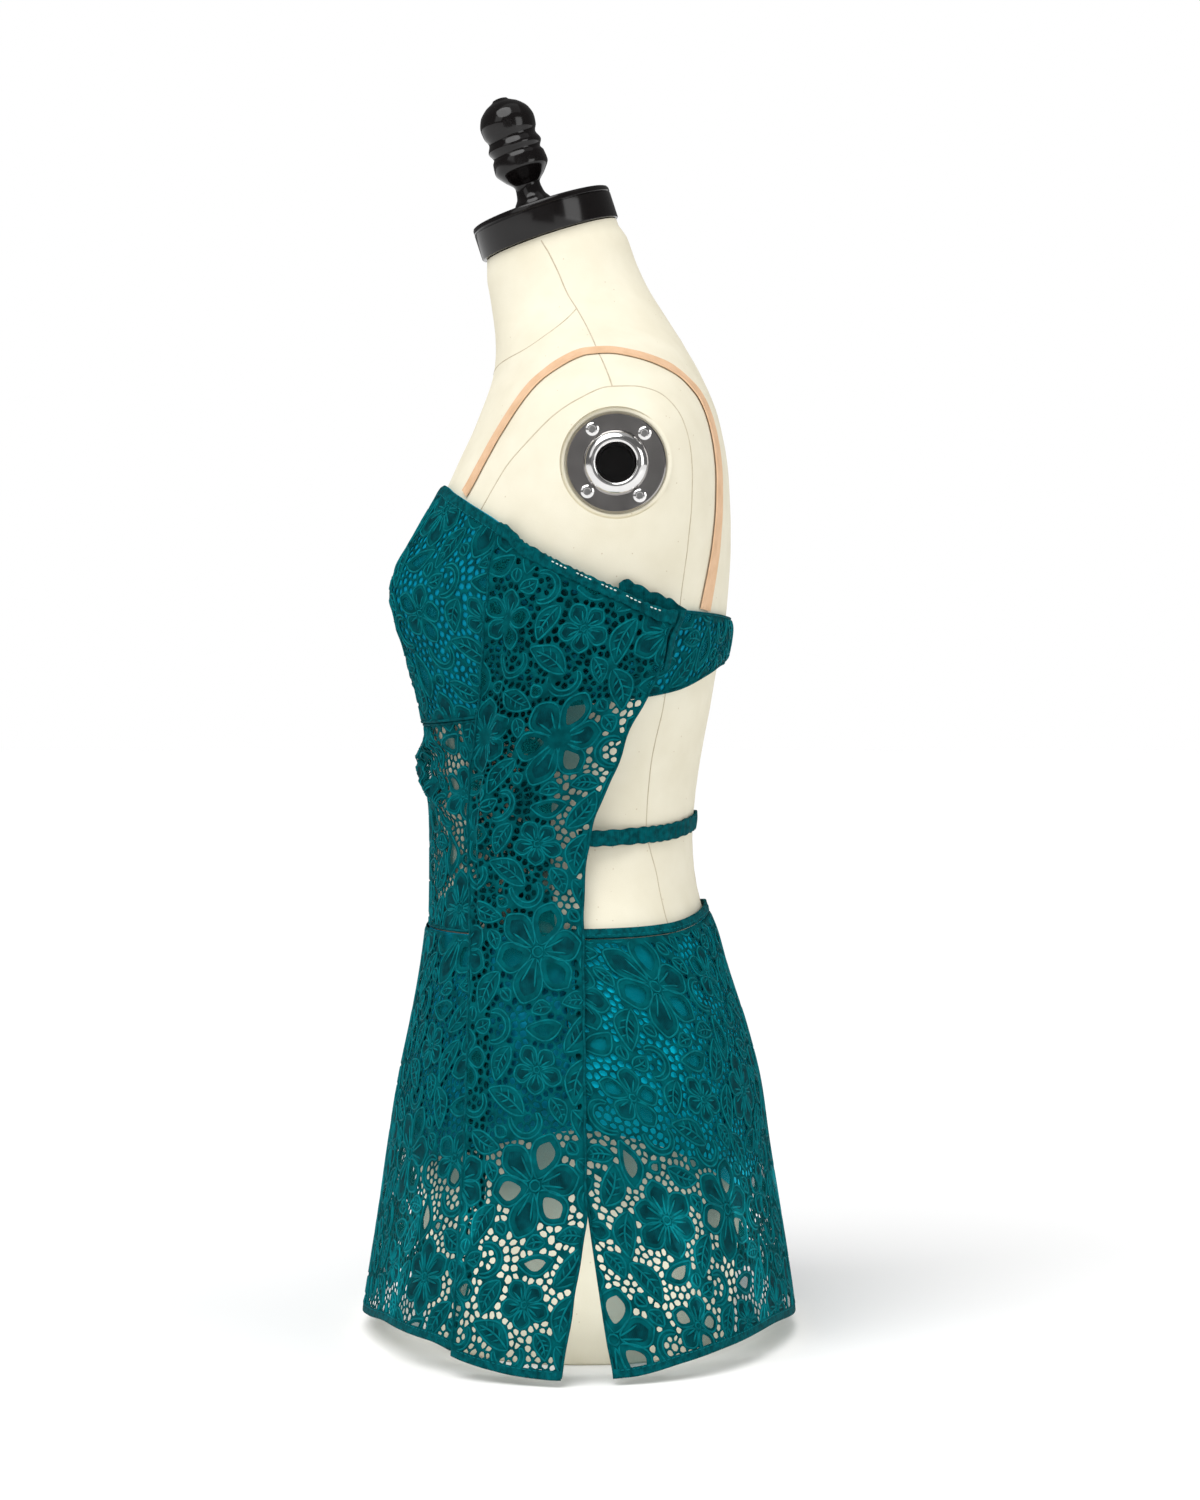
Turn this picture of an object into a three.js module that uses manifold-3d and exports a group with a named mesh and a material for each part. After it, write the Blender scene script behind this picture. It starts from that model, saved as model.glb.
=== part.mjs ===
// A lyrical dance costume of stretch lace, worn by a limbless dress form that stands on the floor.
// Millimetres. +Z up, the front faces -Y, the wearer's left is +X, the floor is z = 0.
import * as THREE from 'three';
import { mergeVertices } from 'three/addons/utils/BufferGeometryUtils.js';
import Module from 'manifold-3d';

const wasm = await Module();
wasm.setup();

// Gaps between pieces, and the thickness of each cloth.
const SEAM = 0.3;
const LACE = 1.1;
const LINING = 1.2;
const CUP = 2.2;
const ELASTIC = 1.0;
const CASING = 2.2;
const STRAP_WIDTH = 10;
const CASING_WIDTH = 8;
const WAISTBAND_WIDTH = 6;
const WAIST_STRAP_WIDTH = 12;
const WAIST_STRAP_DEEP = 2;

// How far each layer's inner skin lies off the form.
const ON_FORM = 0.8;
const OVER_CUP = ON_FORM + CUP + SEAM;
const MIDRIFF_OFF = 2.2;
const WAISTBAND_OFF = 2.2;
// The waistband stands off a sloping form, which lifts it by this much.
const WAISTBAND_RISE = 0.9;
const PANEL_LEAST = OVER_CUP + LACE + 1.2;
const PANEL_ON_SKIRT = 1.6;
// The form's facets lie this far inside its smooth surface, and more at the bust, so that flat
// facets of cloth clear them.
const FORM_INSET = 1.2;
const BUST_INSET = 0.12;

// The bust: how far its two apexes stand from the middle, and how round they are.
const BUST_SPREAD = 75;
const BUST_ROUND = 38;

// The neck cap and finial lean forward together.
const NECK_LEAN = 18;
const CAP_RADIUS = 49.8;
const CAP_HEIGHT = 23.5;
const CAP_FOOT = { y: -20.6, z: 758.2 };
const FINIAL_FORWARD = 3.6;

// The armhole plates: a flange screwed on a flat facet, round a polished collar.
const ARM = {
  y: 24.5, z: 594, facet: 160, facetRadius: 37, flange: 33, flangeDeep: 3,
  collar: 21, collarDeep: 9.5, bore: 13, boreDeep: 14, bolt: 4.5, boltHigh: 2.4, boltCircle: 26.8,
};
const BOLT_ANGLES = [45.5, 125.5, 225.5, 305.5];

const radians = (degrees) => (degrees * Math.PI) / 180;
const lerp = (a, b, t) => a + (b - a) * t;
const smooth = (t) => THREE.MathUtils.smoothstep(t, 0, 1);
const powered = (value, power) => Math.sign(value) * Math.abs(value) ** power;

// A table of sections. Its first column is the key, in rising order, and at() reads another
// column on a smooth curve through the rows that never overshoots them.
class Table {
  constructor(columns, rows) {
    this.columns = columns.split(' ');
    this.rows = rows;
  }

  at(column, key) {
    const c = this.columns.indexOf(column);
    const rows = this.rows;
    if (key <= rows[0][0]) return rows[0][c];
    if (key >= rows.at(-1)[0]) return rows.at(-1)[c];
    const i = rows.findIndex((row) => row[0] > key) - 1;
    const step = rows[i + 1][0] - rows[i][0];
    const rise = (k) => (rows[k + 1][c] - rows[k][c]) / (rows[k + 1][0] - rows[k][0]);
    const slope = (k) => {
      if (k === 0 || k === rows.length - 1) return 0;
      const [before, after] = [rise(k - 1), rise(k)];
      return before * after > 0 ? (2 * before * after) / (before + after) : 0;
    };
    const t = (key - rows[i][0]) / step;
    const [h1, h2] = [t * t * (3 - 2 * t), t * (1 - t) * (1 - t)];
    const h3 = t * t * (t - 1);
    return lerp(rows[i][c], rows[i + 1][c], h1) + step * (h2 * slope(i) + h3 * slope(i + 1));
  }
}

// The form, from its base to the top of its neck. front, back and centre are y, half is half the
// width, square is 2 for an ellipse and more for a squarer section, bust is how far the apexes stand
// forward, and tilt leans the section, in degrees.
const FORM = new Table('height tilt front back centre half square bust', [
  [0, 0, -103, 104, 1, 156, 2.3, 0],
  [8, 0, -105.5, 106.5, 1, 158.5, 2.3, 0],
  [60, 0, -108, 110, 1, 161, 2.3, 0],
  [110, 0, -111, 113, 1, 164, 2.3, 0],
  [150, 0, -113, 114.5, 1, 165, 2.3, 0],
  [185, 0, -112.5, 112.8, 0, 162, 2.3, 0],
  [212, 0, -110, 108.5, -1, 156, 2.3, 0],
  [233, 0, -107.5, 103.5, -2, 149, 2.3, 0],
  [254, 0, -105, 97.5, -3, 141, 2.3, 0],
  [275, 0, -103, 91.5, -5, 132, 2.3, 0],
  [296, 0, -102.2, 84, -7, 124, 2.3, 0],
  [317, 0, -102, 79.8, -9, 118.5, 2.3, 0],
  [340, 0, -102, 78.4, -10, 116, 2.3, 0],
  [365, 0, -102.6, 80, -9, 117, 2.3, 0],
  [390, 0, -103.5, 83.3, -8, 120, 2.3, 0],
  [411, 0, -105, 87, -7, 125, 2.35, 2],
  [432, 0, -107, 91, -5, 131.5, 2.4, 5.5],
  [453, 0, -109, 94.5, -3, 138.5, 2.4, 10.5],
  [474, 0, -110, 98.5, 0, 145, 2.4, 15],
  [494, 0, -111, 101.7, 5, 150, 2.4, 20.5],
  [508, 0, -111, 103, 8, 153, 2.4, 23],
  [524, 0, -109, 104.2, 12, 156.5, 2.4, 21.5],
  [540, 0, -105.5, 105, 16, 161, 2.4, 15.5],
  [558, 0, -100.5, 105, 20, 165.5, 2.4, 9.5],
  [575, 0, -94.5, 104.4, 23, 168.5, 2.4, 4.5],
  [590, 0, -89, 103.6, 24.5, 169.5, 2.4, 1.2],
  [605, 0, -82.6, 102, 24, 169.5, 2.35, 0],
  [621, 0, -75, 99, 23, 167.5, 2.3, 0],
  [635, 0, -69.5, 95.7, 21, 162, 2.2, 0],
  [648, 0, -64.7, 91, 19, 152, 2.1, 0],
  [660, 0, -61, 85.7, 16, 136, 2, 0],
  [670, 0, -59.4, 80.6, 13, 119, 2, 0],
  [680, 0, -58.8, 74.8, 10, 101, 2, 0],
  [690, 0, -59.2, 69, 6, 84, 2, 0],
  [702, 4, -60, 58.7, 0, 69, 2, 0],
  [716, 8, -61.3, 48.3, -7, 58, 2, 0],
  [733, 12, -63.2, 39.5, -12, 52.5, 2, 0],
  [750, 16, -65, 33, -16, 49, 2, 0],
  [764.2, NECK_LEAN, -65, 25.5, -19.8, 46.5, 2, 0],
]);

// The skirt's outer skin, from the hem to above the waist.
const SKIRT = new Table('height tilt front back centre half square bust', [
  [0, 0, -151.5, 150, 0, 227, 2.1, 0],
  [12, 0, -150.5, 149.1, 0, 225.5, 2.1, 0],
  [44, 0, -145.6, 144.9, 0, 220, 2.1, 0],
  [86, 0, -139.3, 138.6, 0, 211, 2.1, 0],
  [128, 0, -133.7, 132.3, 0, 200, 2.1, 0],
  [170, 0, -127.4, 126.7, 0, 186, 2.15, 0],
  [212, 0, -119, 116.2, 0, 170, 2.2, 0],
  [233, 0, -114.8, 109.2, -2, 160, 2.3, 0],
  [254, 0, -111.3, 102.5, -3, 149.5, 2.3, 0],
  [275, 0, -108.5, 96.6, -5, 138, 2.3, 0],
  [296, 0, -106.5, 89, -7, 129, 2.3, 0],
  [320, 0, -108, 86, -9, 126, 2.3, 0],
  [345, 0, -110, 85, -10, 127, 2.3, 0],
]);

// Edges of the pieces. angle runs from the front (0) over the left side (90) to the back (180).
const BODICE_EDGES = new Table('angle bottom top', [
  [0, 421, 576],
  [12, 421, 578.5],
  [22, 422, 581],
  [32, 422.5, 576],
  [45, 424, 567],
  [57, 426, 557],
  [73, 430, 537],
  [82, 432, 528],
  [96, 437, 511],
  [112, 440, 500],
  [130, 445, 498],
  [150, 455, 496],
  [165, 461, 494.5],
  [180, 462, 494],
]);
const BODICE_SIDE = 112;
const PANEL_TOP = new Table('y top', [
  [-48, 561],
  [-27, 542],
  [-9, 532],
  [25, 515],
  [56, 501],
]);
// The side panel's front and back edges, and the free edges of the front and back skirts, as y.
const SIDE_EDGES = new Table('height front back skirtFront skirtBack', [
  [0, -81, -11, -87, 23],
  [30, -80, -6.5, -79, 18],
  [71, -78, 0, -68, 11.5],
  [109, -76, 5.4, -62, 5.7],
  [138, -74, 5, -61, 1],
  [266, -72, 3.4, -60, -3],
  [303, -72, 2.8, -60, -3],
  [333, -71, 4, -60, -3],
  [353, -71, 6.7, -60, -3],
  [375, -70, 12.7, -60, -3],
  [394, -69, 20, -60, -3],
  [418, -66, 26.5, -60, -3],
  [440, -64, 36, -60, -3],
  [463, -62, 46, -60, -3],
  [483, -61, 50, -60, -3],
  [501, -59, 56, -60, -3],
  [530, -56, 56, -60, -3],
  [561, -48, 56, -60, -3],
]);
// How far the side panel hangs off the form, and how much more at its back edge.
const PANEL_HANG = new Table('height off flare', [
  [285, 6, 0],
  [310, 9, 0],
  [345, 12, 1],
  [400, 14, 2],
  [440, 12, 4],
  [470, 10, 6],
  [500, 8, 7],
  [520, 6.5, 4],
  [562, 5.4, 0],
]);
const HEM = new Table('angle height', [
  [0, 11.5],
  [15, 16],
  [30, 21],
  [50, 20],
  [65, 11.5],
  [80, 5.4],
  [90, 4],
  [100, 4.8],
  [115, 11],
  [130, 16],
  [150, 19],
  [180, 11.5],
]);
const LEG_LINE = new Table('angle height', [
  [0, 125],
  [40, 132],
  [70, 148],
  [90, 156],
  [105, 150],
  [130, 131],
  [155, 106],
  [180, 92],
]);
const BACK_WAIST = new Table('angle height', [
  [88, 284],
  [110, 284.5],
  [130, 286],
  [150, 290],
  [165, 293],
  [180, 295],
]);
const WAIST_STRAP = new Table('angle height', [
  [80, 345],
  [130, 347],
  [180, 353],
]);
const FRONT_WAIST = 280;
const MIDRIFF_SIDE = 66;
const BRIEF_SIDE = 88;
// Where the shoulder strap runs over the form.
const STRAP_RUN = new Table('station height angle', [
  [0, 575.6, 37],
  [1, 596, 40],
  [2, 614, 43],
  [3, 632, 48],
  [4, 648, 55],
  [5, 661, 67],
  [6, 670, 84],
  [7, 671, 96],
  [8, 668, 112],
  [9, 659, 133],
  [10, 650, 142],
  [11, 641, 148],
  [12, 626, 151],
  [13, 611, 151.5],
  [14, 571, 150],
  [15, 520, 146],
  [16, 498, 144],
]);
// The finial's outline: radius at a height over the cap.
const FINIAL = new Table('height radius', [
  [0, 14],
  [4, 13.5],
  [10, 10],
  [17, 9],
  [24, 14.8],
  [31, 19.2],
  [38, 18.6],
  [41, 17],
  [46, 19.2],
  [52, 17],
  [57, 19],
  [63, 19.6],
  [70, 17.5],
  [76, 12],
  [80.5, 5],
]);

// Surfaces. Each takes a height and an angle in degrees, and gives a point.
function sectionPoint(table, height, angle) {
  const read = (column) => table.at(column, height);
  const [centre, power] = [read('centre'), 2 / read('square')];
  const [sine, cosine] = [Math.sin(radians(angle)), Math.cos(radians(angle))];
  const depth = cosine > 0 ? centre - read('front') : read('back') - centre;
  const x = read('half') * powered(sine, power);
  const bust = read('bust') * Math.exp(-(((Math.abs(x) - BUST_SPREAD) / BUST_ROUND) ** 2));
  const y = centre - depth * powered(cosine, power) - bust * smooth(cosine / 0.3);
  return new THREE.Vector3(x, y, height + y * Math.tan(radians(read('tilt'))));
}

function normalAt(table, height, angle) {
  const [turn, rise] = [1, 1.5];
  const round = sectionPoint(table, height, angle + turn);
  round.sub(sectionPoint(table, height, angle - turn));
  const up = sectionPoint(table, height + rise, angle);
  up.sub(sectionPoint(table, height - rise, angle));
  return round.cross(up).normalize();
}

function offPoint(table, height, angle, off) {
  return sectionPoint(table, height, angle).addScaledVector(normalAt(table, height, angle), off);
}

// The angle on the left side at which a section passes a given y.
function angleAtY(table, height, y) {
  let [low, high] = [1, 179];
  for (let i = 0; i < 24; i += 1) {
    const middle = (low + high) / 2;
    if (sectionPoint(table, height, middle).y < y) low = middle;
    else high = middle;
  }
  return (low + high) / 2;
}

// A point of the left side panel: across runs from its front edge (0) to its back edge (1), and
// off is how far out of the panel's inner skin the point lies.
function panelPoint(across, height, off) {
  const edge = (name) => SIDE_EDGES.at(name, height);
  const y = lerp(edge('front'), edge('back'), across);
  const hang = PANEL_HANG.at('off', height) * lerp(0.45, 1, smooth(across / 0.35));
  const stand = Math.max(PANEL_LEAST, hang) + PANEL_HANG.at('flare', height) * across ** 2;
  const onForm = offPoint(FORM, height, angleAtY(FORM, height, y), stand + off);
  const onSkirt = offPoint(SKIRT, height, angleAtY(SKIRT, height, y), PANEL_ON_SKIRT + off);
  const wave = 1.6 * Math.sin(across * 2.5 * Math.PI) * smooth((150 - height) / 150);
  onSkirt.x += Math.max(0, wave);
  return onSkirt.lerp(onForm, smooth((height - 290) / 55));
}

// Meshes with shared corners and faces that point out.
function faceOut(geometry) {
  const [p, index] = [geometry.getAttribute('position'), geometry.index.array];
  const corner = (i) => new THREE.Vector3().fromBufferAttribute(p, i);
  let volume = 0;
  for (let i = 0; i < index.length; i += 3) {
    volume += corner(index[i]).dot(corner(index[i + 1]).cross(corner(index[i + 2])));
  }
  if (volume < 0) {
    for (let i = 0; i < index.length; i += 3) {
      [index[i + 1], index[i + 2]] = [index[i + 2], index[i + 1]];
    }
  }
  geometry.computeVertexNormals();
  return geometry;
}

function meshOf(points, faces) {
  const geometry = new THREE.BufferGeometry();
  geometry.setAttribute('position', new THREE.Float32BufferAttribute(points, 3));
  geometry.setIndex(faces);
  return faceOut(geometry);
}

// Gaps in the lace: their sizes run through a short repeat, and each lies turned in its cell.
const GAP_SIZES = [
  { wide: 8.4, high: 7 },
  { wide: 6.4, high: 8.2 },
  { wide: 7.4, high: 6.2 },
  { wide: 6, high: 6.8 },
];

// A gap fills at most this share of its cell, and a cell smaller than the least stays whole.
const GAP_SHARE = 0.62;
const LEAST_CELL = 7;

// The four corners of a gap in a cell, in cell widths and heights from its low corner.
function gapCorners(i, j, cellWide, cellHigh) {
  const turn = i * 5 + j * 3;
  const size = GAP_SIZES[turn % GAP_SIZES.length];
  const wide = Math.min(size.wide / cellWide, GAP_SHARE);
  const high = Math.min(size.high / cellHigh, GAP_SHARE);
  const spin = 0.4 * Math.sin(turn * 3.1);
  return [225, 315, 45, 135].map((angle) => {
    const a = radians(angle) + spin;
    const across = (Math.cos(a) * wide) / Math.SQRT2 + 0.05 * Math.sin(turn * 2.4);
    const up = (Math.sin(a) * high) / Math.SQRT2 + 0.05 * Math.sin(turn * 1.7 + 1);
    return [0.5 + across, 0.5 + up];
  });
}

// A closed wall over a grid: place(u, v, depth) gives its inner skin at depth 0, its outer at 1.
// Where gapped(i, j) is true, that cell has a gap cut through.
function wall(columns, rows, place, gapped = () => false) {
  const [points, faces] = [[], []];
  const addPoint = (u, v, depth) => points.push(...place(u, v, depth).toArray()) / 3 - 1;
  for (const depth of [0, 1]) {
    for (let j = 0; j <= rows; j += 1) {
      for (let i = 0; i <= columns; i += 1) addPoint(i / columns, j / rows, depth);
    }
  }
  const skin = (columns + 1) * (rows + 1);
  const at = (i, j, depth) => depth * skin + j * (columns + 1) + i;
  const quad = (a, b, c, d) => faces.push(a, b, c, a, c, d);
  const cell = (i, j, depth) => [
    at(i, j, depth), at(i + 1, j, depth), at(i + 1, j + 1, depth), at(i, j + 1, depth),
  ];
  const cellSize = (i, j) => {
    const corner = (a, b) => place((i + a) / columns, (j + b) / rows, 1);
    const wide = corner(1, 0.5).distanceTo(corner(0, 0.5));
    return [wide, corner(0.5, 1).distanceTo(corner(0.5, 0))];
  };
  const openCell = (i, j) => {
    const [wide, high] = cellSize(i, j);
    const [inner, outer] = [0, 1].map((depth) => gapCorners(i, j, wide, high)
      .map(([a, b]) => addPoint((i + a) / columns, (j + b) / rows, depth)));
    const [inCell, outCell] = [cell(i, j, 0), cell(i, j, 1)];
    for (let k = 0; k < 4; k += 1) {
      const n = (k + 1) % 4;
      quad(outCell[k], outCell[n], outer[n], outer[k]);
      quad(inCell[n], inCell[k], inner[k], inner[n]);
      quad(outer[k], outer[n], inner[n], inner[k]);
    }
  };
  for (let j = 0; j < rows; j += 1) {
    for (let i = 0; i < columns; i += 1) {
      if (gapped(i, j) && Math.min(...cellSize(i, j)) > LEAST_CELL) {
        openCell(i, j);
      } else {
        const [a, b, c, d] = cell(i, j, 0);
        quad(a, d, c, b);
        quad(...cell(i, j, 1));
      }
    }
  }
  for (let i = 0; i < columns; i += 1) {
    quad(at(i, 0, 0), at(i + 1, 0, 0), at(i + 1, 0, 1), at(i, 0, 1));
    quad(at(i, rows, 0), at(i, rows, 1), at(i + 1, rows, 1), at(i + 1, rows, 0));
  }
  for (let j = 0; j < rows; j += 1) {
    quad(at(0, j, 0), at(0, j, 1), at(0, j + 1, 1), at(0, j + 1, 0));
    quad(at(columns, j, 0), at(columns, j + 1, 0), at(columns, j + 1, 1), at(columns, j, 1));
  }
  return meshOf(points, faces);
}

// A closed body through the form's own sections, with flat ends.
function formBody(sides) {
  const [points, faces] = [[], []];
  const heights = FORM.rows.map((row) => row[0]);
  for (const height of heights) {
    const centre = FORM.at('centre', height);
    for (let i = 0; i < sides; i += 1) {
      const point = sectionPoint(FORM, height, (360 * i) / sides);
      const inset = FORM_INSET + (point.y < centre ? BUST_INSET * FORM.at('bust', height) : 0);
      const inward = new THREE.Vector3(-point.x, centre - point.y, 0).setLength(inset);
      points.push(...point.add(inward).toArray());
    }
  }
  const at = (i, j) => j * sides + (i % sides);
  for (let j = 0; j + 1 < heights.length; j += 1) {
    for (let i = 0; i < sides; i += 1) {
      faces.push(at(i, j), at(i + 1, j), at(i + 1, j + 1), at(i, j), at(i + 1, j + 1), at(i, j + 1));
    }
  }
  for (const [level, height] of [[0, heights[0]], [heights.length - 1, heights.at(-1)]]) {
    const y = FORM.at('centre', height);
    points.push(0, y, height + y * Math.tan(radians(FORM.at('tilt', height))));
    const middle = points.length / 3 - 1;
    for (let i = 0; i < sides; i += 1) {
      const [a, b] = [at(i, level), at(i + 1, level)];
      faces.push(...(level ? [a, b, middle] : [b, a, middle]));
    }
  }
  return meshOf(points, faces);
}

function mirrored(geometry) {
  const copy = geometry.clone().scale(-1, 1, 1);
  return faceOut(copy);
}

// Cuts and joins.
function bare(geometry) {
  const copy = geometry.clone();
  copy.deleteAttribute('normal');
  copy.deleteAttribute('uv');
  return mergeVertices(copy, 1e-4);
}

function solidOf(geometry) {
  const merged = bare(geometry);
  return new wasm.Manifold(new wasm.Mesh({
    numProp: 3,
    vertProperties: new Float32Array(merged.getAttribute('position').array),
    triVerts: new Uint32Array(merged.index.array),
  }));
}

function geometryOf(solid) {
  const mesh = solid.getMesh();
  return meshOf(Array.from(mesh.vertProperties), Array.from(mesh.triVerts));
}

const cut = (geometry, tool) => geometryOf(solidOf(geometry).subtract(solidOf(tool)));
const join = (geometry, other) => geometryOf(solidOf(geometry).add(solidOf(other)));

// The form and its fittings.
function torso() {
  const wallTools = [];
  for (const side of [1, -1]) {
    const facet = new THREE.CylinderGeometry(ARM.facetRadius, ARM.facetRadius, 40, 28);
    const socket = new THREE.CylinderGeometry(ARM.bore, ARM.bore, 40, 16);
    facet.rotateZ(Math.PI / 2).translate(side * (ARM.facet + 20), ARM.y, ARM.z);
    socket.rotateZ(Math.PI / 2).translate(side * (ARM.facet - ARM.boreDeep + 20), ARM.y, ARM.z);
    wallTools.push(join(facet, socket));
  }
  return wallTools.reduce(cut, formBody(28));
}

function neckCap() {
  const edge = 0.9;
  const outline = [
    [0, 0], [CAP_RADIUS - edge, 0], [CAP_RADIUS, edge],
    [CAP_RADIUS, CAP_HEIGHT - 2 * edge], [CAP_RADIUS - 2 * edge, CAP_HEIGHT], [0, CAP_HEIGHT],
  ];
  return turned(outline, 32);
}

function finial() {
  const outline = FINIAL.rows.map(([height, radius]) => [radius, height]);
  return turned([[0, 0], ...outline, [0, FINIAL.rows.at(-1)[0] + 0.5]], 20);
}

// A turned body about +Z from [radius, height] pairs that start and end on the axis or close.
function turned(outline, sides) {
  const points = outline.map(([radius, height]) => new THREE.Vector2(radius, height));
  const geometry = new THREE.LatheGeometry(points, sides).rotateX(Math.PI / 2);
  return faceOut(bare(geometry));
}

function armholePlate() {
  const outline = [
    [ARM.bore, 0], [ARM.flange, 0], [ARM.flange, ARM.flangeDeep - 0.8],
    [ARM.flange - 0.8, ARM.flangeDeep], [ARM.collar + 0.6, ARM.flangeDeep],
    [ARM.collar - 0.6, ARM.collarDeep - 2.6], [ARM.collar - 3, ARM.collarDeep - 0.5],
    [ARM.bore + 2.4, ARM.collarDeep], [ARM.bore, ARM.collarDeep - 1.5], [ARM.bore, 0],
  ];
  let plate = turned(outline, 20);
  for (const angle of BOLT_ANGLES) {
    const [sine, cosine] = [Math.sin(radians(angle)), Math.cos(radians(angle))];
    const bolt = new THREE.CylinderGeometry(ARM.bolt * 0.8, ARM.bolt, ARM.boltHigh + 1, 6);
    bolt.rotateX(Math.PI / 2);
    const middle = ARM.flangeDeep + (ARM.boltHigh - 1) / 2;
    bolt.translate(ARM.boltCircle * cosine, ARM.boltCircle * sine, middle);
    plate = join(plate, bolt);
  }
  return plate;
}

// Turns a plate made about +Z to face out of the left side, with its local x towards the back.
function facedLeft(geometry) {
  const basis = new THREE.Matrix4().makeBasis(
    new THREE.Vector3(0, 1, 0),
    new THREE.Vector3(0, 0, 1),
    new THREE.Vector3(1, 0, 0),
  );
  return geometry.clone().applyMatrix4(basis).translate(ARM.facet + SEAM, ARM.y, ARM.z);
}

// A strip of the bodice between two angles, in one layer.
function bodiceStrip(from, to, columns, rows, inner, thick, lift) {
  return wall(columns, rows, (u, v, depth) => {
    const angle = lerp(from, to, u);
    const turn = Math.abs(angle > 180 ? 360 - angle : angle);
    const height = lerp(BODICE_EDGES.at('bottom', turn), BODICE_EDGES.at('top', turn), v);
    return offPoint(FORM, height, angle, inner + depth * thick + lift(turn, v));
  });
}

const flat = () => 0;
// The back band spans the hollow of the back, so it stands off the form at its lower edge.
const bandLift = (turn, v) => (3.2 - v) * smooth((turn - 130) / 50);

function shoulderStrap() {
  const stations = STRAP_RUN.rows.length - 1;
  const spot = (s, off) => {
    const [height, angle] = [STRAP_RUN.at('height', s), STRAP_RUN.at('angle', s)];
    return offPoint(FORM, height, angle, off);
  };
  return wall(stations, 1, (u, v, depth) => {
    const s = u * stations;
    const along = spot(Math.min(s + 0.3, stations), 0).sub(spot(Math.max(s - 0.3, 0), 0));
    const normal = spot(s, 1).sub(spot(s, 0));
    const side = along.cross(normal).normalize();
    return spot(s, ON_FORM + depth * ELASTIC).addScaledVector(side, (v - 0.5) * STRAP_WIDTH);
  });
}

// The front midriff, with the soft twist at the centre front and the folds that run from it.
const TWIST = { height: 390, high: 15, wide: 34, proud: 4.6, fold: 2.4, foldWide: 9, rise: 0.36 };

function twistLift(x, height) {
  const across = (height - TWIST.height) / TWIST.high;
  const knot = TWIST.proud * Math.exp(-((x / TWIST.wide) ** 2) - across ** 2);
  const run = TWIST.rise * Math.abs(x);
  const away = Math.min(
    Math.abs(height - TWIST.height - run),
    Math.abs(height - TWIST.height + run),
  );
  const fade = smooth(Math.abs(x) / 30) * smooth((130 - Math.abs(x)) / 60);
  return knot + TWIST.fold * fade * Math.exp(-((away / TWIST.foldWide) ** 2));
}

function midriffFront() {
  return wall(18, 11, (u, v, depth) => {
    const angle = lerp(-MIDRIFF_SIDE, MIDRIFF_SIDE, u);
    const top = BODICE_EDGES.at('bottom', Math.abs(angle)) - SEAM;
    const height = lerp(FRONT_WAIST + SEAM, top, v);
    const { x } = sectionPoint(FORM, height, angle);
    const edge = smooth(v / 0.12) * smooth((1 - v) / 0.12);
    const lift = twistLift(x, height) * edge * smooth((58 - Math.abs(angle)) / 20);
    return offPoint(FORM, height, angle, MIDRIFF_OFF + depth * LACE + lift);
  }, (i, j) => j > 0 && j < 7 && i > 2 && i < 15 && (i + j) % 2 === 0);
}

function sidePanel() {
  return wall(8, 24, (u, v, depth) => {
    const top = PANEL_TOP.at('top', lerp(-48, 56, u)) - CASING_WIDTH - SEAM;
    const bottom = HEM.at('height', lerp(62, 92, u));
    return panelPoint(u, lerp(bottom, top, v), depth * LACE);
  }, (i, j) => j < 5 || (j > 12 && j < 19 && i > 1 && i < 7 && (i + j) % 2 === 0));
}

function topCasing() {
  return wall(8, 1, (u, v, depth) => {
    const height = PANEL_TOP.at('top', lerp(-48, 56, u)) - CASING_WIDTH * (1 - v);
    return panelPoint(u, height, depth * CASING - SEAM / 2);
  });
}

// The loop at the panel's top back corner: it turns in round a small radius and runs forward
// again on the body's side, under the panel, with a scalloped top.
const LOOP = { leg: 32, deep: 38, proud: 6.5, inner: OVER_CUP + LACE + SEAM, scallop: 1.8, arc: 0.45 };

function panelLoop() {
  return wall(14, 2, (u, v, depth) => {
    const outer = PANEL_HANG.at('off', 495) + PANEL_HANG.at('flare', 495);
    const radius = (outer - LOOP.inner) / 2;
    const turn = Math.min(1, u / LOOP.arc);
    const back = radius * Math.sin(turn * Math.PI);
    const reach = (LOOP.leg * Math.max(0, u - LOOP.arc)) / (1 - LOOP.arc);
    const edge = 56 + SEAM + 1.4;
    const along = edge + back - reach;
    const crest = LOOP.proud * smooth((u - 0.2) / 0.4);
    const scallop = LOOP.scallop * Math.abs(Math.sin(u * 4 * Math.PI)) * smooth((u - 0.3) / 0.2);
    const top = PANEL_TOP.at('top', Math.min(along, 56)) + crest + scallop;
    const height = lerp(top - LOOP.deep, top, v);
    const y = along + SIDE_EDGES.at('back', height) - 56;
    const off = LOOP.inner + radius * (1 + Math.cos(turn * Math.PI)) + depth * LACE;
    return offPoint(FORM, height, angleAtY(FORM, height, y), off);
  });
}

function waistStrap() {
  const start = 86;
  const near = PANEL_HANG.at('off', 345) - WAIST_STRAP_DEEP - SEAM - 0.4;
  return wall(26, 1, (u, v, depth) => {
    const angle = lerp(start, 360 - start, u);
    const turn = angle > 180 ? 360 - angle : angle;
    const off = lerp(near, ON_FORM + 0.3, smooth((turn - start) / 30));
    const ruche = 0.5 * Math.sin(u * 70);
    const height = WAIST_STRAP.at('height', turn) + (v - 0.5) * WAIST_STRAP_WIDTH + v * ruche;
    return offPoint(FORM, height, angle, off + depth * WAIST_STRAP_DEEP);
  });
}

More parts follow.
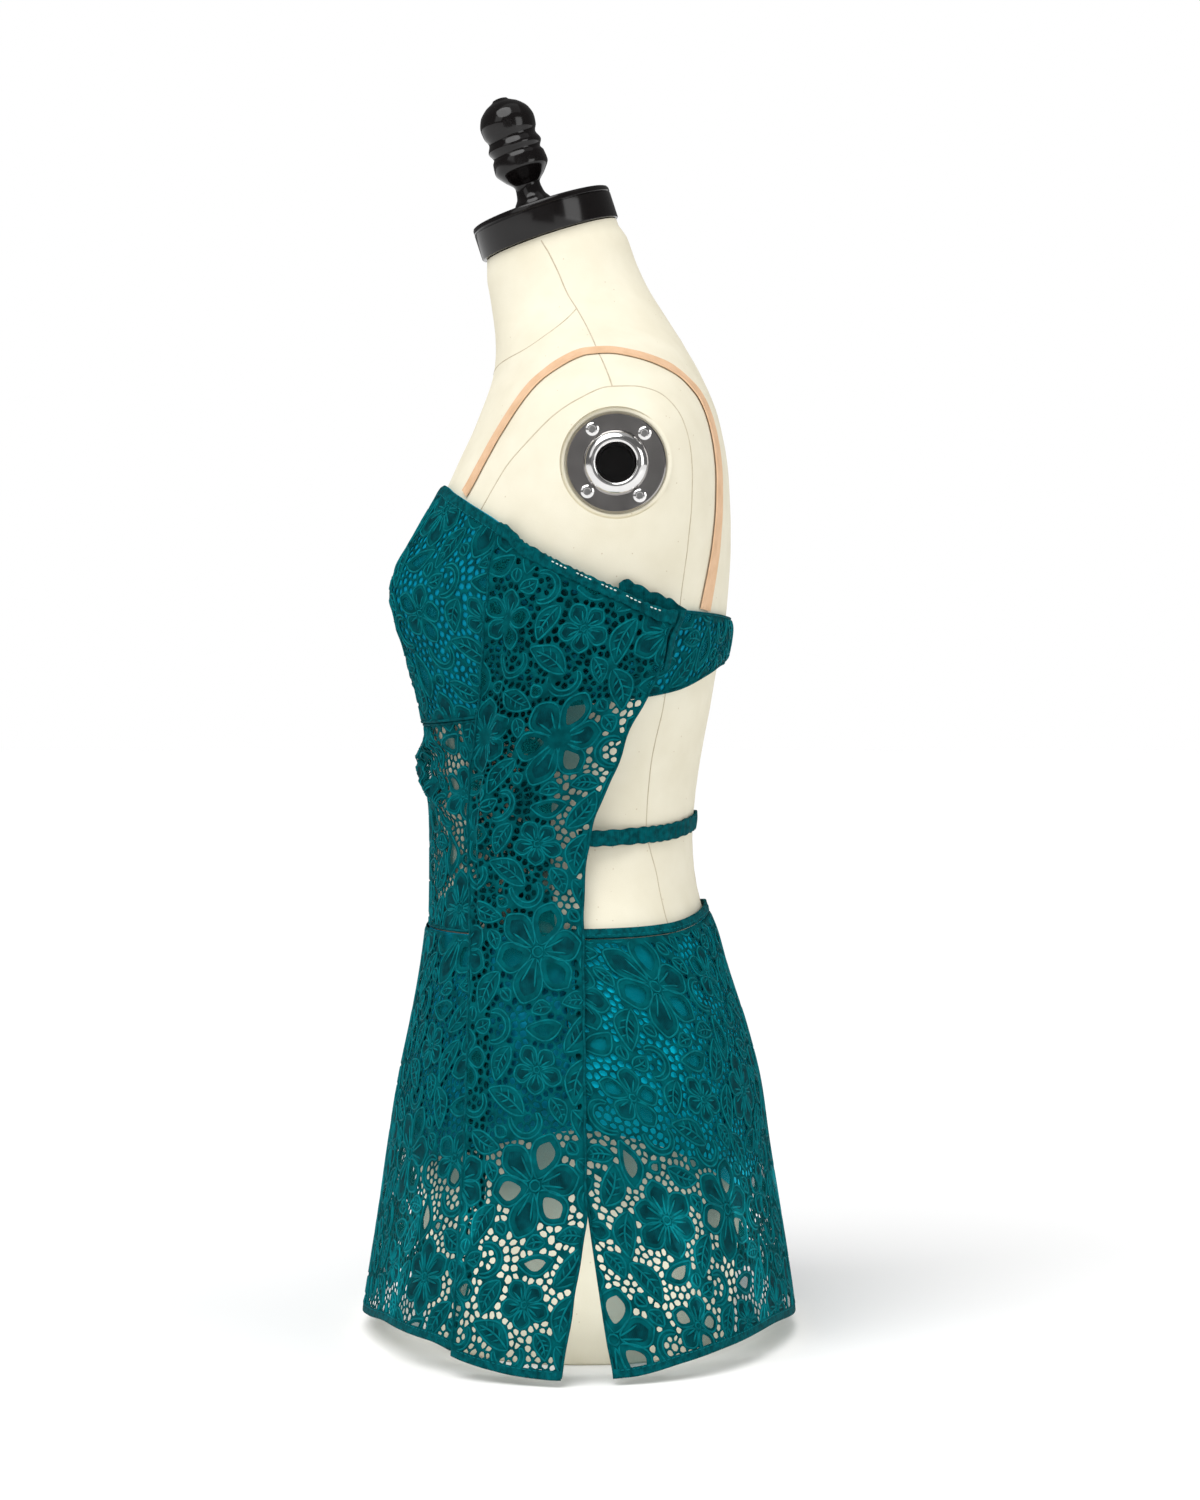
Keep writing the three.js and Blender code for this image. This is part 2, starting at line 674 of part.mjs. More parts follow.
function skirtFront() {
  return wall(16, 9, (u, v, depth) => {
    const across = 2 * u - 1;
    const guess = HEM.at('height', Math.abs(across) * 58);
    const height = lerp(guess, FRONT_WAIST, v);
    const side = angleAtY(SKIRT, height, SIDE_EDGES.at('skirtFront', height));
    return offPoint(SKIRT, height, across * side, (depth - 1) * LACE);
  }, (i, j) => j < 3);
}

function skirtBack() {
  return wall(18, 9, (u, v, depth) => {
    const across = 1 - 2 * u;
    const turn = 180 - Math.abs(across) * 84;
    const top = BACK_WAIST.at('height', turn) - WAISTBAND_WIDTH + WAISTBAND_RISE - SEAM;
    const height = lerp(HEM.at('height', turn), top, v);
    const side = 180 - angleAtY(SKIRT, height, SIDE_EDGES.at('skirtBack', height));
    return offPoint(SKIRT, height, 180 - across * side, (depth - 1) * LACE);
  }, (i, j) => j < 3);
}

function backWaistband() {
  return wall(18, 1, (u, v, depth) => {
    const angle = lerp(BRIEF_SIDE, 360 - BRIEF_SIDE, u);
    const top = BACK_WAIST.at('height', angle > 180 ? 360 - angle : angle);
    const off = WAISTBAND_OFF + depth * CASING;
    return offPoint(FORM, top - WAISTBAND_WIDTH * (1 - v), angle, off);
  });
}

function brief(from, to, top) {
  return wall(16, 4, (u, v, depth) => {
    const angle = lerp(from, to, u);
    const turn = Math.abs(angle > 180 ? 360 - angle : angle);
    const height = lerp(LEG_LINE.at('height', turn), top(turn), v);
    return offPoint(FORM, height, angle, ON_FORM + depth * LINING);
  });
}

// Colours and finishes.
const finish = (color, roughness, metalness) => ({ color, roughness, metalness });
const FINISHES = {
  linen: finish('#f1ead2', 0.9, 0),
  blackGloss: finish('#0b0a0a', 0.2, 0),
  steel: finish('#77726e', 0.25, 1),
  lace: finish('#00707a', 0.75, 0),
  lining: finish('#0a8aa8', 0.5, 0),
  elastic: finish('#ecc49a', 0.6, 0),
};

const part = new THREE.Group();

function add(name, geometry, look) {
  const mesh = new THREE.Mesh(geometry, new THREE.MeshStandardMaterial(FINISHES[look]));
  mesh.name = name;
  part.add(mesh);
  return mesh;
}

function addPair(name, geometry, look) {
  add(`${name}_left`, geometry, look);
  add(`${name}_right`, mirrored(geometry), look);
}

add('form_torso', torso(), 'linen');
const lean = radians(NECK_LEAN);
const cap = add('form_neck_cap', neckCap(), 'blackGloss');
cap.rotation.x = lean;
cap.position.set(0, CAP_FOOT.y, CAP_FOOT.z);
const knob = add('form_finial', finial(), 'blackGloss');
knob.rotation.x = lean;
knob.position.set(0, -FINIAL_FORWARD, CAP_HEIGHT + SEAM).applyEuler(cap.rotation).add(cap.position);
addPair('armhole_plate', facedLeft(armholePlate()), 'steel');

const sideGap = 0.2;
const bandFrom = BODICE_SIDE + sideGap;
const bandTo = 360 - bandFrom;
add('bodice_lining', bodiceStrip(-BODICE_SIDE, BODICE_SIDE, 22, 5, ON_FORM, CUP, flat), 'lining');
add('bodice_lace', bodiceStrip(-BODICE_SIDE, BODICE_SIDE, 22, 5, OVER_CUP, LACE, flat), 'lace');
add('back_band_lining', bodiceStrip(bandFrom, bandTo, 14, 2, ON_FORM, CUP, bandLift), 'lining');
add('back_band_lace', bodiceStrip(bandFrom, bandTo, 14, 2, OVER_CUP, LACE, bandLift), 'lace');
addPair('shoulder_strap', shoulderStrap(), 'elastic');

add('midriff_front', midriffFront(), 'lace');
addPair('side_panel', sidePanel(), 'lace');
addPair('top_casing', topCasing(), 'lace');
addPair('panel_loop', panelLoop(), 'lace');
add('waist_strap', waistStrap(), 'lace');

add('skirt_front', skirtFront(), 'lace');
add('skirt_back', skirtBack(), 'lace');
add('back_waistband', backWaistband(), 'lace');
const underBand = (turn) => BACK_WAIST.at('height', turn) - WAISTBAND_WIDTH - 2 * SEAM;
add('brief_front', brief(-BRIEF_SIDE, BRIEF_SIDE, () => FRONT_WAIST - SEAM), 'lining');
add('brief_back', brief(BRIEF_SIDE + sideGap, 360 - BRIEF_SIDE - sideGap, underBand), 'lining');

export default part;
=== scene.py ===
"""A lyrical dance costume of corded stretch lace, worn by a limbless dress form on a plain floor.

Lengths are in millimetres until a mesh is made, and the finished meshes are in metres. +Z is up, the
front faces -Y and the wearer's left is +X. Angles run from the front (0) over the left side (90) to
the back (180), in degrees.
"""

import logging
import math
from dataclasses import dataclass, field
from enum import Enum
from functools import cache
from typing import Callable, Sequence

import bmesh
import bpy
import numpy as np
from mathutils import Matrix, Vector
from mathutils.geometry import delaunay_2d_cdt


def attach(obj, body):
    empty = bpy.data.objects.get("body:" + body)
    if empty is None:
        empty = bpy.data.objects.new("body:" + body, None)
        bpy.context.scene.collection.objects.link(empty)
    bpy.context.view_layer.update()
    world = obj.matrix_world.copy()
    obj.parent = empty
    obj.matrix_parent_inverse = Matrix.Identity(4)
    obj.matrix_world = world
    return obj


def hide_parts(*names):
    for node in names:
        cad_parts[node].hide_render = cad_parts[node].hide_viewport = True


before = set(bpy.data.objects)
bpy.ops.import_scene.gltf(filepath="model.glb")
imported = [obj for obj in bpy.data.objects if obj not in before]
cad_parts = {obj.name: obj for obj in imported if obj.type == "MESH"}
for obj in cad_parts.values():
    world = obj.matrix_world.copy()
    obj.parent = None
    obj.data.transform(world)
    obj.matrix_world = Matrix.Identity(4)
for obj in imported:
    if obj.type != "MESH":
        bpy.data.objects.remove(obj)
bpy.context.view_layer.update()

LOG = logging.getLogger("costume")
METRES = 0.001
BODY = "root"

# Gaps between pieces, and how far each layer's inner skin lies off the form.
SEAM = 0.3
ON_FORM = 0.8
CUP = 2.2
LACE = 1.1
OVER_CUP = ON_FORM + CUP + SEAM
MIDRIFF_OFF = 2.2
WAISTBAND_OFF = 2.2
WAISTBAND_WIDTH = 6.0
WAISTBAND_RISE = 0.9
PANEL_LEAST = OVER_CUP + LACE + 1.2
PANEL_ON_SKIRT = 1.6
PANEL_FRONT = -48.0
PANEL_BACK = 56.0
CASING_WIDTH = 8.0
STRAP_WIDTH = 10.0
WAIST_STRAP_WIDTH = 12.0
WAIST_STRAP_DEEP = 2.0
FRONT_WAIST = 280.0
BODICE_SIDE = 112.0
MIDRIFF_SIDE = 86.0
BRIEF_SIDE = 88.0
HEM_WIDTH = 6.0
HEM_GAP = 0.4
EDGE_GAP = 0.2

# The lace's own thickness, and how far its raised cords reach from their middle line.
CLOTH = 0.5
CORD_WIDE = 0.78
CORD_HIGH = 0.62

Array = np.ndarray
Values = Array | float
Place = Callable[[Array, Array, Values], Array]
Piece = bpy.types.Object
Socket = bpy.types.NodeSocket


def smooth(t: Values) -> Array:
    """Return 0 below 0, 1 above 1, and a soft step between."""
    t = np.clip(t, 0.0, 1.0)
    return t * t * (3 - 2 * t)


def lerp(a: Values, b: Values, t: Values) -> Array:
    """Return the value a share t of the way from a to b."""
    return a + (b - a) * t


def folded(angle: Array) -> Array:
    """Bring an angle past the back over to the left side."""
    return np.where(angle > 180, 360 - angle, angle)


def powered(value: Array, power: Array) -> Array:
    """Raise a value's size to a power and keep its sign."""
    return np.sign(value) * np.abs(value) ** power


@dataclass(frozen=True)
class Table:
    """A table of named columns. The first is the key, in rising order."""

    columns: str
    rows: tuple[tuple[float, ...], ...]

    def at(self, column: str, key: Values) -> Array:
        """Read a column on a smooth curve through the rows that never overshoots them.

        Args:
            column: The column's name.
            key: Where to read it.

        Returns:
            The column's value at each key.
        """
        data = np.asarray(self.rows, float)
        x, y = data[:, 0], data[:, self.columns.split().index(column)]
        step = np.diff(x)
        rise = np.diff(y) / step
        before, after = rise[:-1], rise[1:]
        slope = np.zeros(len(x))
        turning = before * after <= 0
        total = np.where(turning, 1.0, before + after)
        slope[1:-1] = np.where(turning, 0.0, 2 * before * after / total)
        k = np.clip(np.asarray(key, float), x[0], x[-1])
        i = np.clip(np.searchsorted(x, k, side="right") - 1, 0, len(x) - 2)
        t = (k - x[i]) / step[i]
        near = step[i] * t * (1 - t) ** 2 * slope[i]
        far = step[i] * t * t * (t - 1) * slope[i + 1]
        return lerp(y[i], y[i + 1], t * t * (3 - 2 * t)) + near + far


@dataclass(frozen=True)
class Body:
    """A body through a table of sections, such as the form or the skirt's outer skin."""

    table: Table
    spread: float = 75.0
    roundness: float = 38.0

    def point(self, height: Values, angle: Values) -> Array:
        """Return the surface's point at each height and angle.

        Args:
            height: Heights.
            angle: Angles.

        Returns:
            The points.
        """
        height, angle = np.broadcast_arrays(np.asarray(height, float), np.asarray(angle, float))
        read = {c: self.table.at(c, height) for c in self.table.columns.split()[1:]}
        turn = np.radians(angle)
        sine, cosine = np.sin(turn), np.cos(turn)
        power = 2 / read["square"]
        centre = read["centre"]
        depth = np.where(cosine > 0, centre - read["front"], read["back"] - centre)
        x = read["half"] * powered(sine, power)
        bust = read["bust"] * np.exp(-(((np.abs(x) - self.spread) / self.roundness) ** 2))
        y = centre - depth * powered(cosine, power) - bust * smooth(cosine / 0.3)
        return np.stack([x, y, height + y * np.tan(np.radians(read["tilt"]))], -1)

    def normal(self, height: Values, angle: Values) -> Array:
        """Return the outward normal at each height and angle.

        Args:
            height: Heights.
            angle: Angles.

        Returns:
            Directions of length 1.
        """
        turn, rise = 1.0, 1.5
        height, angle = np.broadcast_arrays(np.asarray(height, float), np.asarray(angle, float))
        across = self.point(height, angle + turn) - self.point(height, angle - turn)
        up = self.point(height + rise, angle) - self.point(height - rise, angle)
        normal = np.cross(across, up)
        return normal / np.linalg.norm(normal, axis=-1, keepdims=True)

    def off(self, height: Values, angle: Values, off: Values) -> Array:
        """Return points that stand off the surface along its normal."""
        lift = np.broadcast_to(np.asarray(off, float), np.broadcast(height, angle).shape)
        return self.point(height, angle) + self.normal(height, angle) * lift[..., None]

    def angle_at(self, height: Array, y: Array) -> Array:
        """Return the angle on the left side at which the section passes y.

        Args:
            height: Heights.
            y: Where each section is met.

        Returns:
            The angles.
        """
        height, y = np.broadcast_arrays(np.asarray(height, float), np.asarray(y, float))
        low, high = np.full(height.shape, 1.0), np.full(height.shape, 179.0)
        for _ in range(20):
            middle = (low + high) / 2
            short = self.point(height, middle)[..., 1] < y
            low, high = np.where(short, middle, low), np.where(short, high, middle)
        return (low + high) / 2


# The form, from its base to the top of its neck.
FORM = Body(Table("height tilt front back centre half square bust", (
    (0, 0, -103, 104, 1, 156, 2.3, 0),
    (8, 0, -105.5, 106.5, 1, 158.5, 2.3, 0),
    (60, 0, -108, 110, 1, 161, 2.3, 0),
    (110, 0, -111, 113, 1, 164, 2.3, 0),
    (150, 0, -113, 114.5, 1, 165, 2.3, 0),
    (185, 0, -112.5, 112.8, 0, 162, 2.3, 0),
    (212, 0, -110, 108.5, -1, 156, 2.3, 0),
    (233, 0, -107.5, 103.5, -2, 149, 2.3, 0),
    (254, 0, -105, 97.5, -3, 141, 2.3, 0),
    (275, 0, -103, 91.5, -5, 132, 2.3, 0),
    (296, 0, -102.2, 84, -7, 124, 2.3, 0),
    (317, 0, -102, 79.8, -9, 118.5, 2.3, 0),
    (340, 0, -102, 78.4, -10, 116, 2.3, 0),
    (365, 0, -102.6, 80, -9, 117, 2.3, 0),
    (390, 0, -103.5, 83.3, -8, 120, 2.3, 0),
    (411, 0, -105, 87, -7, 125, 2.35, 2),
    (432, 0, -107, 91, -5, 131.5, 2.4, 5.5),
    (453, 0, -109, 94.5, -3, 138.5, 2.4, 10.5),
    (474, 0, -110, 98.5, 0, 145, 2.4, 15),
    (494, 0, -111, 101.7, 5, 150, 2.4, 20.5),
    (508, 0, -111, 103, 8, 153, 2.4, 23),
    (524, 0, -109, 104.2, 12, 156.5, 2.4, 21.5),
    (540, 0, -105.5, 105, 16, 161, 2.4, 15.5),
    (558, 0, -100.5, 105, 20, 165.5, 2.4, 9.5),
    (575, 0, -94.5, 104.4, 23, 168.5, 2.4, 4.5),
    (590, 0, -89, 103.6, 24.5, 169.5, 2.4, 1.2),
    (605, 0, -82.6, 102, 24, 169.5, 2.35, 0),
    (621, 0, -75, 99, 23, 167.5, 2.3, 0),
    (635, 0, -69.5, 95.7, 21, 162, 2.2, 0),
    (648, 0, -64.7, 91, 19, 152, 2.1, 0),
    (660, 0, -61, 85.7, 16, 136, 2, 0),
    (670, 0, -59.4, 80.6, 13, 119, 2, 0),
    (680, 0, -58.8, 74.8, 10, 101, 2, 0),
    (690, 0, -59.2, 69, 6, 84, 2, 0),
    (702, 4, -60, 58.7, 0, 69, 2, 0),
    (716, 8, -61.3, 48.3, -7, 58, 2, 0),
    (733, 12, -63.2, 39.5, -12, 52.5, 2, 0),
    (750, 16, -65, 33, -16, 49, 2, 0),
    (764.2, 18, -65, 25.5, -19.8, 46.5, 2, 0),
)))

# The skirt's outer skin, from the hem to above the waist.
SKIRT = Body(Table("height tilt front back centre half square bust", (
    (0, 0, -151.5, 150, 0, 227, 2.1, 0),
    (12, 0, -150.5, 149.1, 0, 225.5, 2.1, 0),
    (44, 0, -145.6, 144.9, 0, 220, 2.1, 0),
    (86, 0, -139.3, 138.6, 0, 211, 2.1, 0),
    (128, 0, -133.7, 132.3, 0, 200, 2.1, 0),
    (170, 0, -127.4, 126.7, 0, 186, 2.15, 0),
    (212, 0, -119, 116.2, 0, 170, 2.2, 0),
    (233, 0, -114.8, 109.2, -2, 160, 2.3, 0),
    (254, 0, -111.3, 102.5, -3, 149.5, 2.3, 0),
    (275, 0, -108.5, 96.6, -5, 138, 2.3, 0),
    (296, 0, -106.5, 89, -7, 129, 2.3, 0),
    (320, 0, -108, 86, -9, 126, 2.3, 0),
    (345, 0, -110, 85, -10, 127, 2.3, 0),
)))

# Edges of the pieces.
BODICE_EDGES = Table("angle bottom top", (
    (0, 421, 576), (12, 421, 578.5), (22, 422, 581), (32, 422.5, 576), (45, 424, 567),
    (57, 426, 557), (73, 430, 537), (82, 432, 528), (96, 437, 511), (112, 440, 500),
    (130, 445, 498), (150, 455, 496), (165, 461, 494.5), (180, 462, 494),
))
PANEL_TOP = Table("y top", ((-48, 561), (-27, 542), (-9, 532), (25, 515), (56, 501)))
SIDE_EDGES = Table("height front back skirt_front skirt_back", (
    (0, -81, -11, -87, 23), (30, -80, -6.5, -79, 18), (71, -78, 0, -68, 11.5),
    (109, -76, 5.4, -62, 5.7), (138, -74, 5, -61, 1), (266, -72, 3.4, -60, -3),
    (303, -72, 2.8, -60, -3), (333, -71, 4, -60, -3), (353, -71, 6.7, -60, -3),
    (375, -70, 12.7, -60, -3), (394, -69, 20, -60, -3), (418, -66, 26.5, -60, -3),
    (440, -64, 36, -60, -3), (463, -62, 46, -60, -3), (483, -61, 50, -60, -3),
    (501, -59, 56, -60, -3), (530, -56, 56, -60, -3), (561, -48, 56, -60, -3),
))
PANEL_HANG = Table("height off flare", (
    (285, 6, 0), (310, 9, 0), (345, 12, 1), (400, 14, 2), (440, 12, 4), (470, 10, 6),
    (500, 8, 7), (520, 6.5, 4), (562, 5.4, 0),
))
HEM = Table("angle height", (
    (0, 11.5), (15, 16), (30, 21), (50, 20), (65, 11.5), (80, 5.4), (90, 4), (100, 4.8),
    (115, 11), (130, 16), (150, 19), (180, 11.5),
))
LEG_LINE = Table("angle height", (
    (0, 125), (40, 132), (70, 148), (90, 156), (105, 150), (130, 131), (155, 106), (180, 92),
))
BACK_WAIST = Table("angle height", (
    (88, 284), (110, 284.5), (130, 286), (150, 290), (165, 293), (180, 295),
))
WAIST_STRAP = Table("angle height", ((80, 345), (130, 347), (180, 353)))
STRAP_RUN = Table("station height angle", (
    (0, 575.6, 37), (1, 596, 40), (2, 614, 43), (3, 632, 48), (4, 648, 55), (5, 661, 67),
    (6, 670, 84), (7, 671, 96), (8, 668, 112), (9, 659, 133), (10, 650, 142), (11, 641, 148),
    (12, 626, 151), (13, 611, 151.5), (14, 571, 150), (15, 520, 146), (16, 498, 144),
))


class Finish(Enum):
    """The finishes on the costume and the form, by the record's slots where one finish is a slot."""

    LINEN = "linen"
    FORM_SEAM = "form_seam"
    BLACK = "black_lacquer"
    STEEL = "polished_steel"
    STEEL_DARK = "dark_steel"
    LACE = "lace_net"
    PETAL = "lace_petal"
    TULLE = "lace_tulle"
    CORD = "lace_cord"
    TRIM = "lace_trim"
    LINING = "blue_lining"
    # The back brief's lining: the blue lining with painted light, brighter than the real lining.
    LINING_PAINTED_LIGHT = "brief_lining"
    ELASTIC = "skin_elastic"
    STITCH = "stitch_thread"
    CLEAR = "clear_elastic"
    CARD = "dark_card"
    FLOOR = "studio_floor"


class Nodes:
    """Adds nodes to the tree of a material or a world, and joins them."""

    def __init__(self, tree: bpy.types.NodeTree) -> None:
        """Work on one tree."""
        self.tree = tree

    def feed(self, node: bpy.types.Node, inputs: dict[str | int, object]) -> bpy.types.Node:
        """Join a socket to each named input of a node, or set a plain value there.

        Args:
            node: The node.
            inputs: A socket or a plain value for each input.

        Returns:
            The same node.
        """
        for name, value in inputs.items():
            if isinstance(value, Socket):
                self.tree.links.new(value, node.inputs[name])
            else:
                node.inputs[name].default_value = value
        return node

    def add(
        self, kind: str, inputs: dict[str | int, object] | None = None, **settings: object
    ) -> bpy.types.Node:
        """Add a node, set its own properties and feed its inputs.

        Args:
            kind: The node's type, such as Math.
            inputs: A socket or a plain value for each input.
            settings: The node's properties.

        Returns:
            The new node.
        """
        node = self.tree.nodes.new(f"ShaderNode{kind}")
        for name, value in settings.items():
            setattr(node, name, value)
        return self.feed(node, inputs or {})


@dataclass(frozen=True)
class Look:
    """One procedural finish: its colours, how fine its marks are, and how it takes the light."""

    light: tuple[float, float, float]
    dark: tuple[float, float, float]
    mark_size: float = 4.0
    grain: float = 0.6
    grain_high: float = 0.15
    roughness: float = 0.7
    metallic: float = 0.0
    alpha: float = 1.0
    shine: float = 0.5
    speck: tuple[float, float, float] | None = None
    rib: float = 0.0
    rough_swing: float = 0.08

    def material(self, name: str) -> bpy.types.Material:
        """Build the node material.

        Args:
            name: The material's name.

        Returns:
            A material whose colour, roughness and bump come from noise in Object coordinates.
        """
        made = bpy.data.materials.new(name)
        made.use_nodes = True
        nodes = Nodes(made.node_tree)
        where = nodes.add("TexCoord").outputs["Object"]
        mark, fine = (
            nodes.add("TexNoise", {
                "Vector": where, "Scale": 1.0 / (size * METRES), "Detail": detail,
            }).outputs["Fac"]
            for size, detail in ((self.mark_size, 4.0), (self.grain, 2.0)))
        ramp = nodes.add("ValToRGB", {"Fac": mark})
        stops = zip(ramp.color_ramp.elements, (0.32, 0.68), (self.dark, self.light))
        for element, spot, shade in stops:
            element.position = spot
            element.color = (*shade, 1)
        colour = ramp.outputs["Color"]
        if self.speck is not None:
            colour = self._specks(nodes, where, colour)
        if self.rib > 0:
            fine = self._ribs(nodes, fine)
        rough = nodes.add("MapRange", {
            "Value": mark, "To Min": max(0.02, self.roughness - self.rough_swing),
            "To Max": min(1.0, self.roughness + self.rough_swing),
        })
        bump = nodes.add("Bump", {
            "Strength": 0.6, "Distance": self.grain_high * METRES, "Height": fine,
        })
        nodes.feed(made.node_tree.nodes["Principled BSDF"], {
            "Base Color": colour, "Roughness": rough.outputs["Result"],
            "Normal": bump.outputs["Normal"], "Metallic": self.metallic,
            "Specular IOR Level": self.shine, "Alpha": self.alpha,
        })
        return made

    def _specks(
        self, nodes: Nodes, where: Socket, colour: Socket
    ) -> Socket:
        """Scatter small darker specks, such as husk in linen.

        Args:
            nodes: The material's nodes.
            where: The Object coordinates.
            colour: The colour without specks.

        Returns:
            The new colour.
        """
        apart, size, weight = 9 * METRES, 0.055, 0.45
        cells = nodes.add("TexVoronoi", {"Vector": where, "Scale": 1.0 / apart})
        near = nodes.add("Math", {0: cells.outputs["Distance"], 1: size}, operation="LESS_THAN")
        share = nodes.add("Math", {0: near.outputs["Value"], 1: weight}, operation="MULTIPLY")
        mix = nodes.add("Mix", data_type="RGBA")
        nodes.feed(mix, {"Factor": share.outputs["Value"], "A": colour, "B": (*self.speck, 1)})
        return mix.outputs["Result"]

    def _ribs(self, nodes: Nodes, fine: Socket) -> Socket:
        """Add knitted ribs along the cloth's own UV map to the grain.

        Args:
            nodes: The material's nodes.
            fine: The grain's height.

        Returns:
            The new height.
        """
        uv = nodes.add("UVMap", uv_map="flat")
        wave = nodes.add("TexWave", {
            "Vector": uv.outputs["UV"], "Scale": 0.32 / (self.rib * METRES), "Distortion": 0.6,
        })
        both = nodes.add("Math", {0: fine, 1: wave.outputs["Fac"]}, operation="ADD")
        return both.outputs["Value"]


LOOKS: dict[Finish, Look] = {
    Finish.LINEN: Look((0.81, 0.765, 0.62), (0.76, 0.71, 0.56), 30, 0.7, 0.12, 0.9, shine=0.1,
                       speck=(0.42, 0.29, 0.14)),
    Finish.FORM_SEAM: Look((0.60, 0.53, 0.40), (0.48, 0.41, 0.29), 6, 0.5, 0.1, 0.9, shine=0.1),
    Finish.BLACK: Look((0.006, 0.005, 0.005), (0.004, 0.003, 0.003), 20, 6, 0.01, 0.14, shine=0.4),
    Finish.STEEL: Look((0.80, 0.79, 0.78), (0.72, 0.71, 0.70), 12, 3, 0.01, 0.1, metallic=1.0),
    Finish.STEEL_DARK: Look((0.44, 0.42, 0.41), (0.36, 0.345, 0.335), 16, 3, 0.01, 0.2,
                            metallic=1.0),
    Finish.LACE: Look((0.0, 0.097, 0.110), (0.0, 0.046, 0.053), 9, 0.7, 0.25, 0.75, shine=0.02),
    Finish.PETAL: Look((0.0, 0.060, 0.072), (0.0, 0.026, 0.032), 7, 0.6, 0.3, 0.7, shine=0.03,
                       rib=1.3),
    Finish.TULLE: Look((0.0, 0.10, 0.105), (0.0, 0.06, 0.064), 5, 0.6, 0.2, 0.8, alpha=0.36,
                       shine=0.02),
    Finish.CORD: Look((0.0, 0.175, 0.200), (0.0, 0.100, 0.116), 5, 0.6, 0.2, 0.6, shine=0.05),
    Finish.TRIM: Look((0.0, 0.100, 0.116), (0.0, 0.040, 0.047), 4, 0.7, 0.3, 0.7, shine=0.03,
                      rib=1.6),
    Finish.LINING: Look((0.0, 0.255, 0.385), (0.0, 0.205, 0.315), 18, 0.5, 0.08, 0.6, shine=0.05),
    # Painted light: the blue lining painted about twice as bright, so that the back brief looks lit
    # through the skirt's holes despite the skirt's shade.
    Finish.LINING_PAINTED_LIGHT: Look((0.0, 0.56, 0.76), (0.0, 0.48, 0.66), 18, 0.5, 0.08, 0.6, shine=0.05),
    Finish.ELASTIC: Look((0.78, 0.52, 0.33), (0.70, 0.45, 0.27), 10, 0.6, 0.2, 0.65, shine=0.1,
                         rib=2.0),
    Finish.STITCH: Look((0.0, 0.18, 0.21), (0.0, 0.12, 0.14), 3, 0.5, 0.1, 0.6, shine=0.05),
    Finish.CLEAR: Look((0.80, 0.84, 0.80), (0.55, 0.66, 0.62), 3, 0.5, 0.1, 0.5, shine=0.3),
    Finish.CARD: Look((0.30, 0.30, 0.30), (0.28, 0.28, 0.28), 300, 40, 0.05, 0.9, shine=0.1),
    Finish.FLOOR: Look((0.955, 0.955, 0.955), (0.945, 0.945, 0.945), 300, 40, 0.05, 0.9,
                       shine=0.1),
}


@cache
def material_of(finish: Finish) -> bpy.types.Material:
    """Return a finish's material, made when it is first asked for."""
    return LOOKS[finish].material(finish.value)


def linked(name: str, data: bpy.types.ID) -> Piece:
    """Make an object of a mesh, a lamp or a camera, and link it to the scene.

    Args:
        name: The object's name.
        data: What it shows.

    Returns:
        The new object.
    """
    made = bpy.data.objects.new(name, data)
    bpy.context.scene.collection.objects.link(made)
    return made


def select_only(piece: Piece | None = None) -> None:
    """Leave object mode's selection empty, or with one piece selected and active.

    Args:
        piece: The piece to select, if any.
    """
    if bpy.context.mode != "OBJECT":
        bpy.ops.object.mode_set(mode="OBJECT")
    bpy.ops.object.select_all(action="DESELECT")
    if piece is not None:
        piece.select_set(True)
        bpy.context.view_layer.objects.active = piece


def apply_modifiers(piece: Piece) -> None:
    """Apply every modifier of a piece, in order.

    Args:
        piece: The piece.
    """
    select_only(piece)
    for modifier in list(piece.modifiers):
        bpy.ops.object.modifier_apply(modifier=modifier.name)
    select_only()


@dataclass
class Skin:
    """A mesh in the making: corners in millimetres, faces, their finishes, and flat UVs."""

    corners: Array
    faces: list[tuple[int, ...]]
    marks: Sequence[int] | None = None
    flat: Array | None = None

    def piece(
        self, name: str, finishes: Sequence[Finish], thick: float = 0.0, sharp: float = 180.0
    ) -> Piece:
        """Turn the skin into a finished object at the origin.

        Args:
            name: The piece's name.
            finishes: Its material slots, which the marks point into.
            thick: How thick to make an open skin, about its middle, in millimetres.
            sharp: Edges that turn by more than this many degrees stay sharp.

        Returns:
            The new object.
        """
        mesh = bpy.data.meshes.new(name)
        mesh.from_pydata((self.corners * METRES).tolist(), [], self.faces)
        for finish in finishes:
            mesh.materials.append(material_of(finish))
        if self.marks is not None:
            mesh.polygons.foreach_set("material_index", np.asarray(self.marks, np.int32))
        if self.flat is not None:
            layer = mesh.uv_layers.new(name="flat")
            loops = np.zeros(len(mesh.loops), np.int32)
            mesh.loops.foreach_get("vertex_index", loops)
            layer.data.foreach_set("uv", (self.flat[loops] * METRES).astype(np.float32).ravel())
        mesh.update()
        piece = linked(name, mesh)
        if thick:
            wall = piece.modifiers.new("wall", "SOLIDIFY")
            wall.thickness = thick * METRES
            wall.offset = 0.0
            apply_modifiers(piece)
        select_only(piece)
        if sharp < 180:
            bpy.ops.object.shade_smooth_by_angle(angle=math.radians(sharp))
        else:
            bpy.ops.object.shade_smooth()
        select_only()
        return piece


def mirrored_piece(piece: Piece, name: str) -> Piece:
    """Copy a piece to the other side of the centre plane, with its own mesh.

    Args:
        piece: The piece.
        name: The copy's name.

    Returns:
        The copy.
    """
    mesh = piece.data.copy()
    mesh.name = name
    mesh.transform(Matrix.Diagonal((-1, 1, 1, 1)))
    mesh.flip_normals()
    return linked(name, mesh)


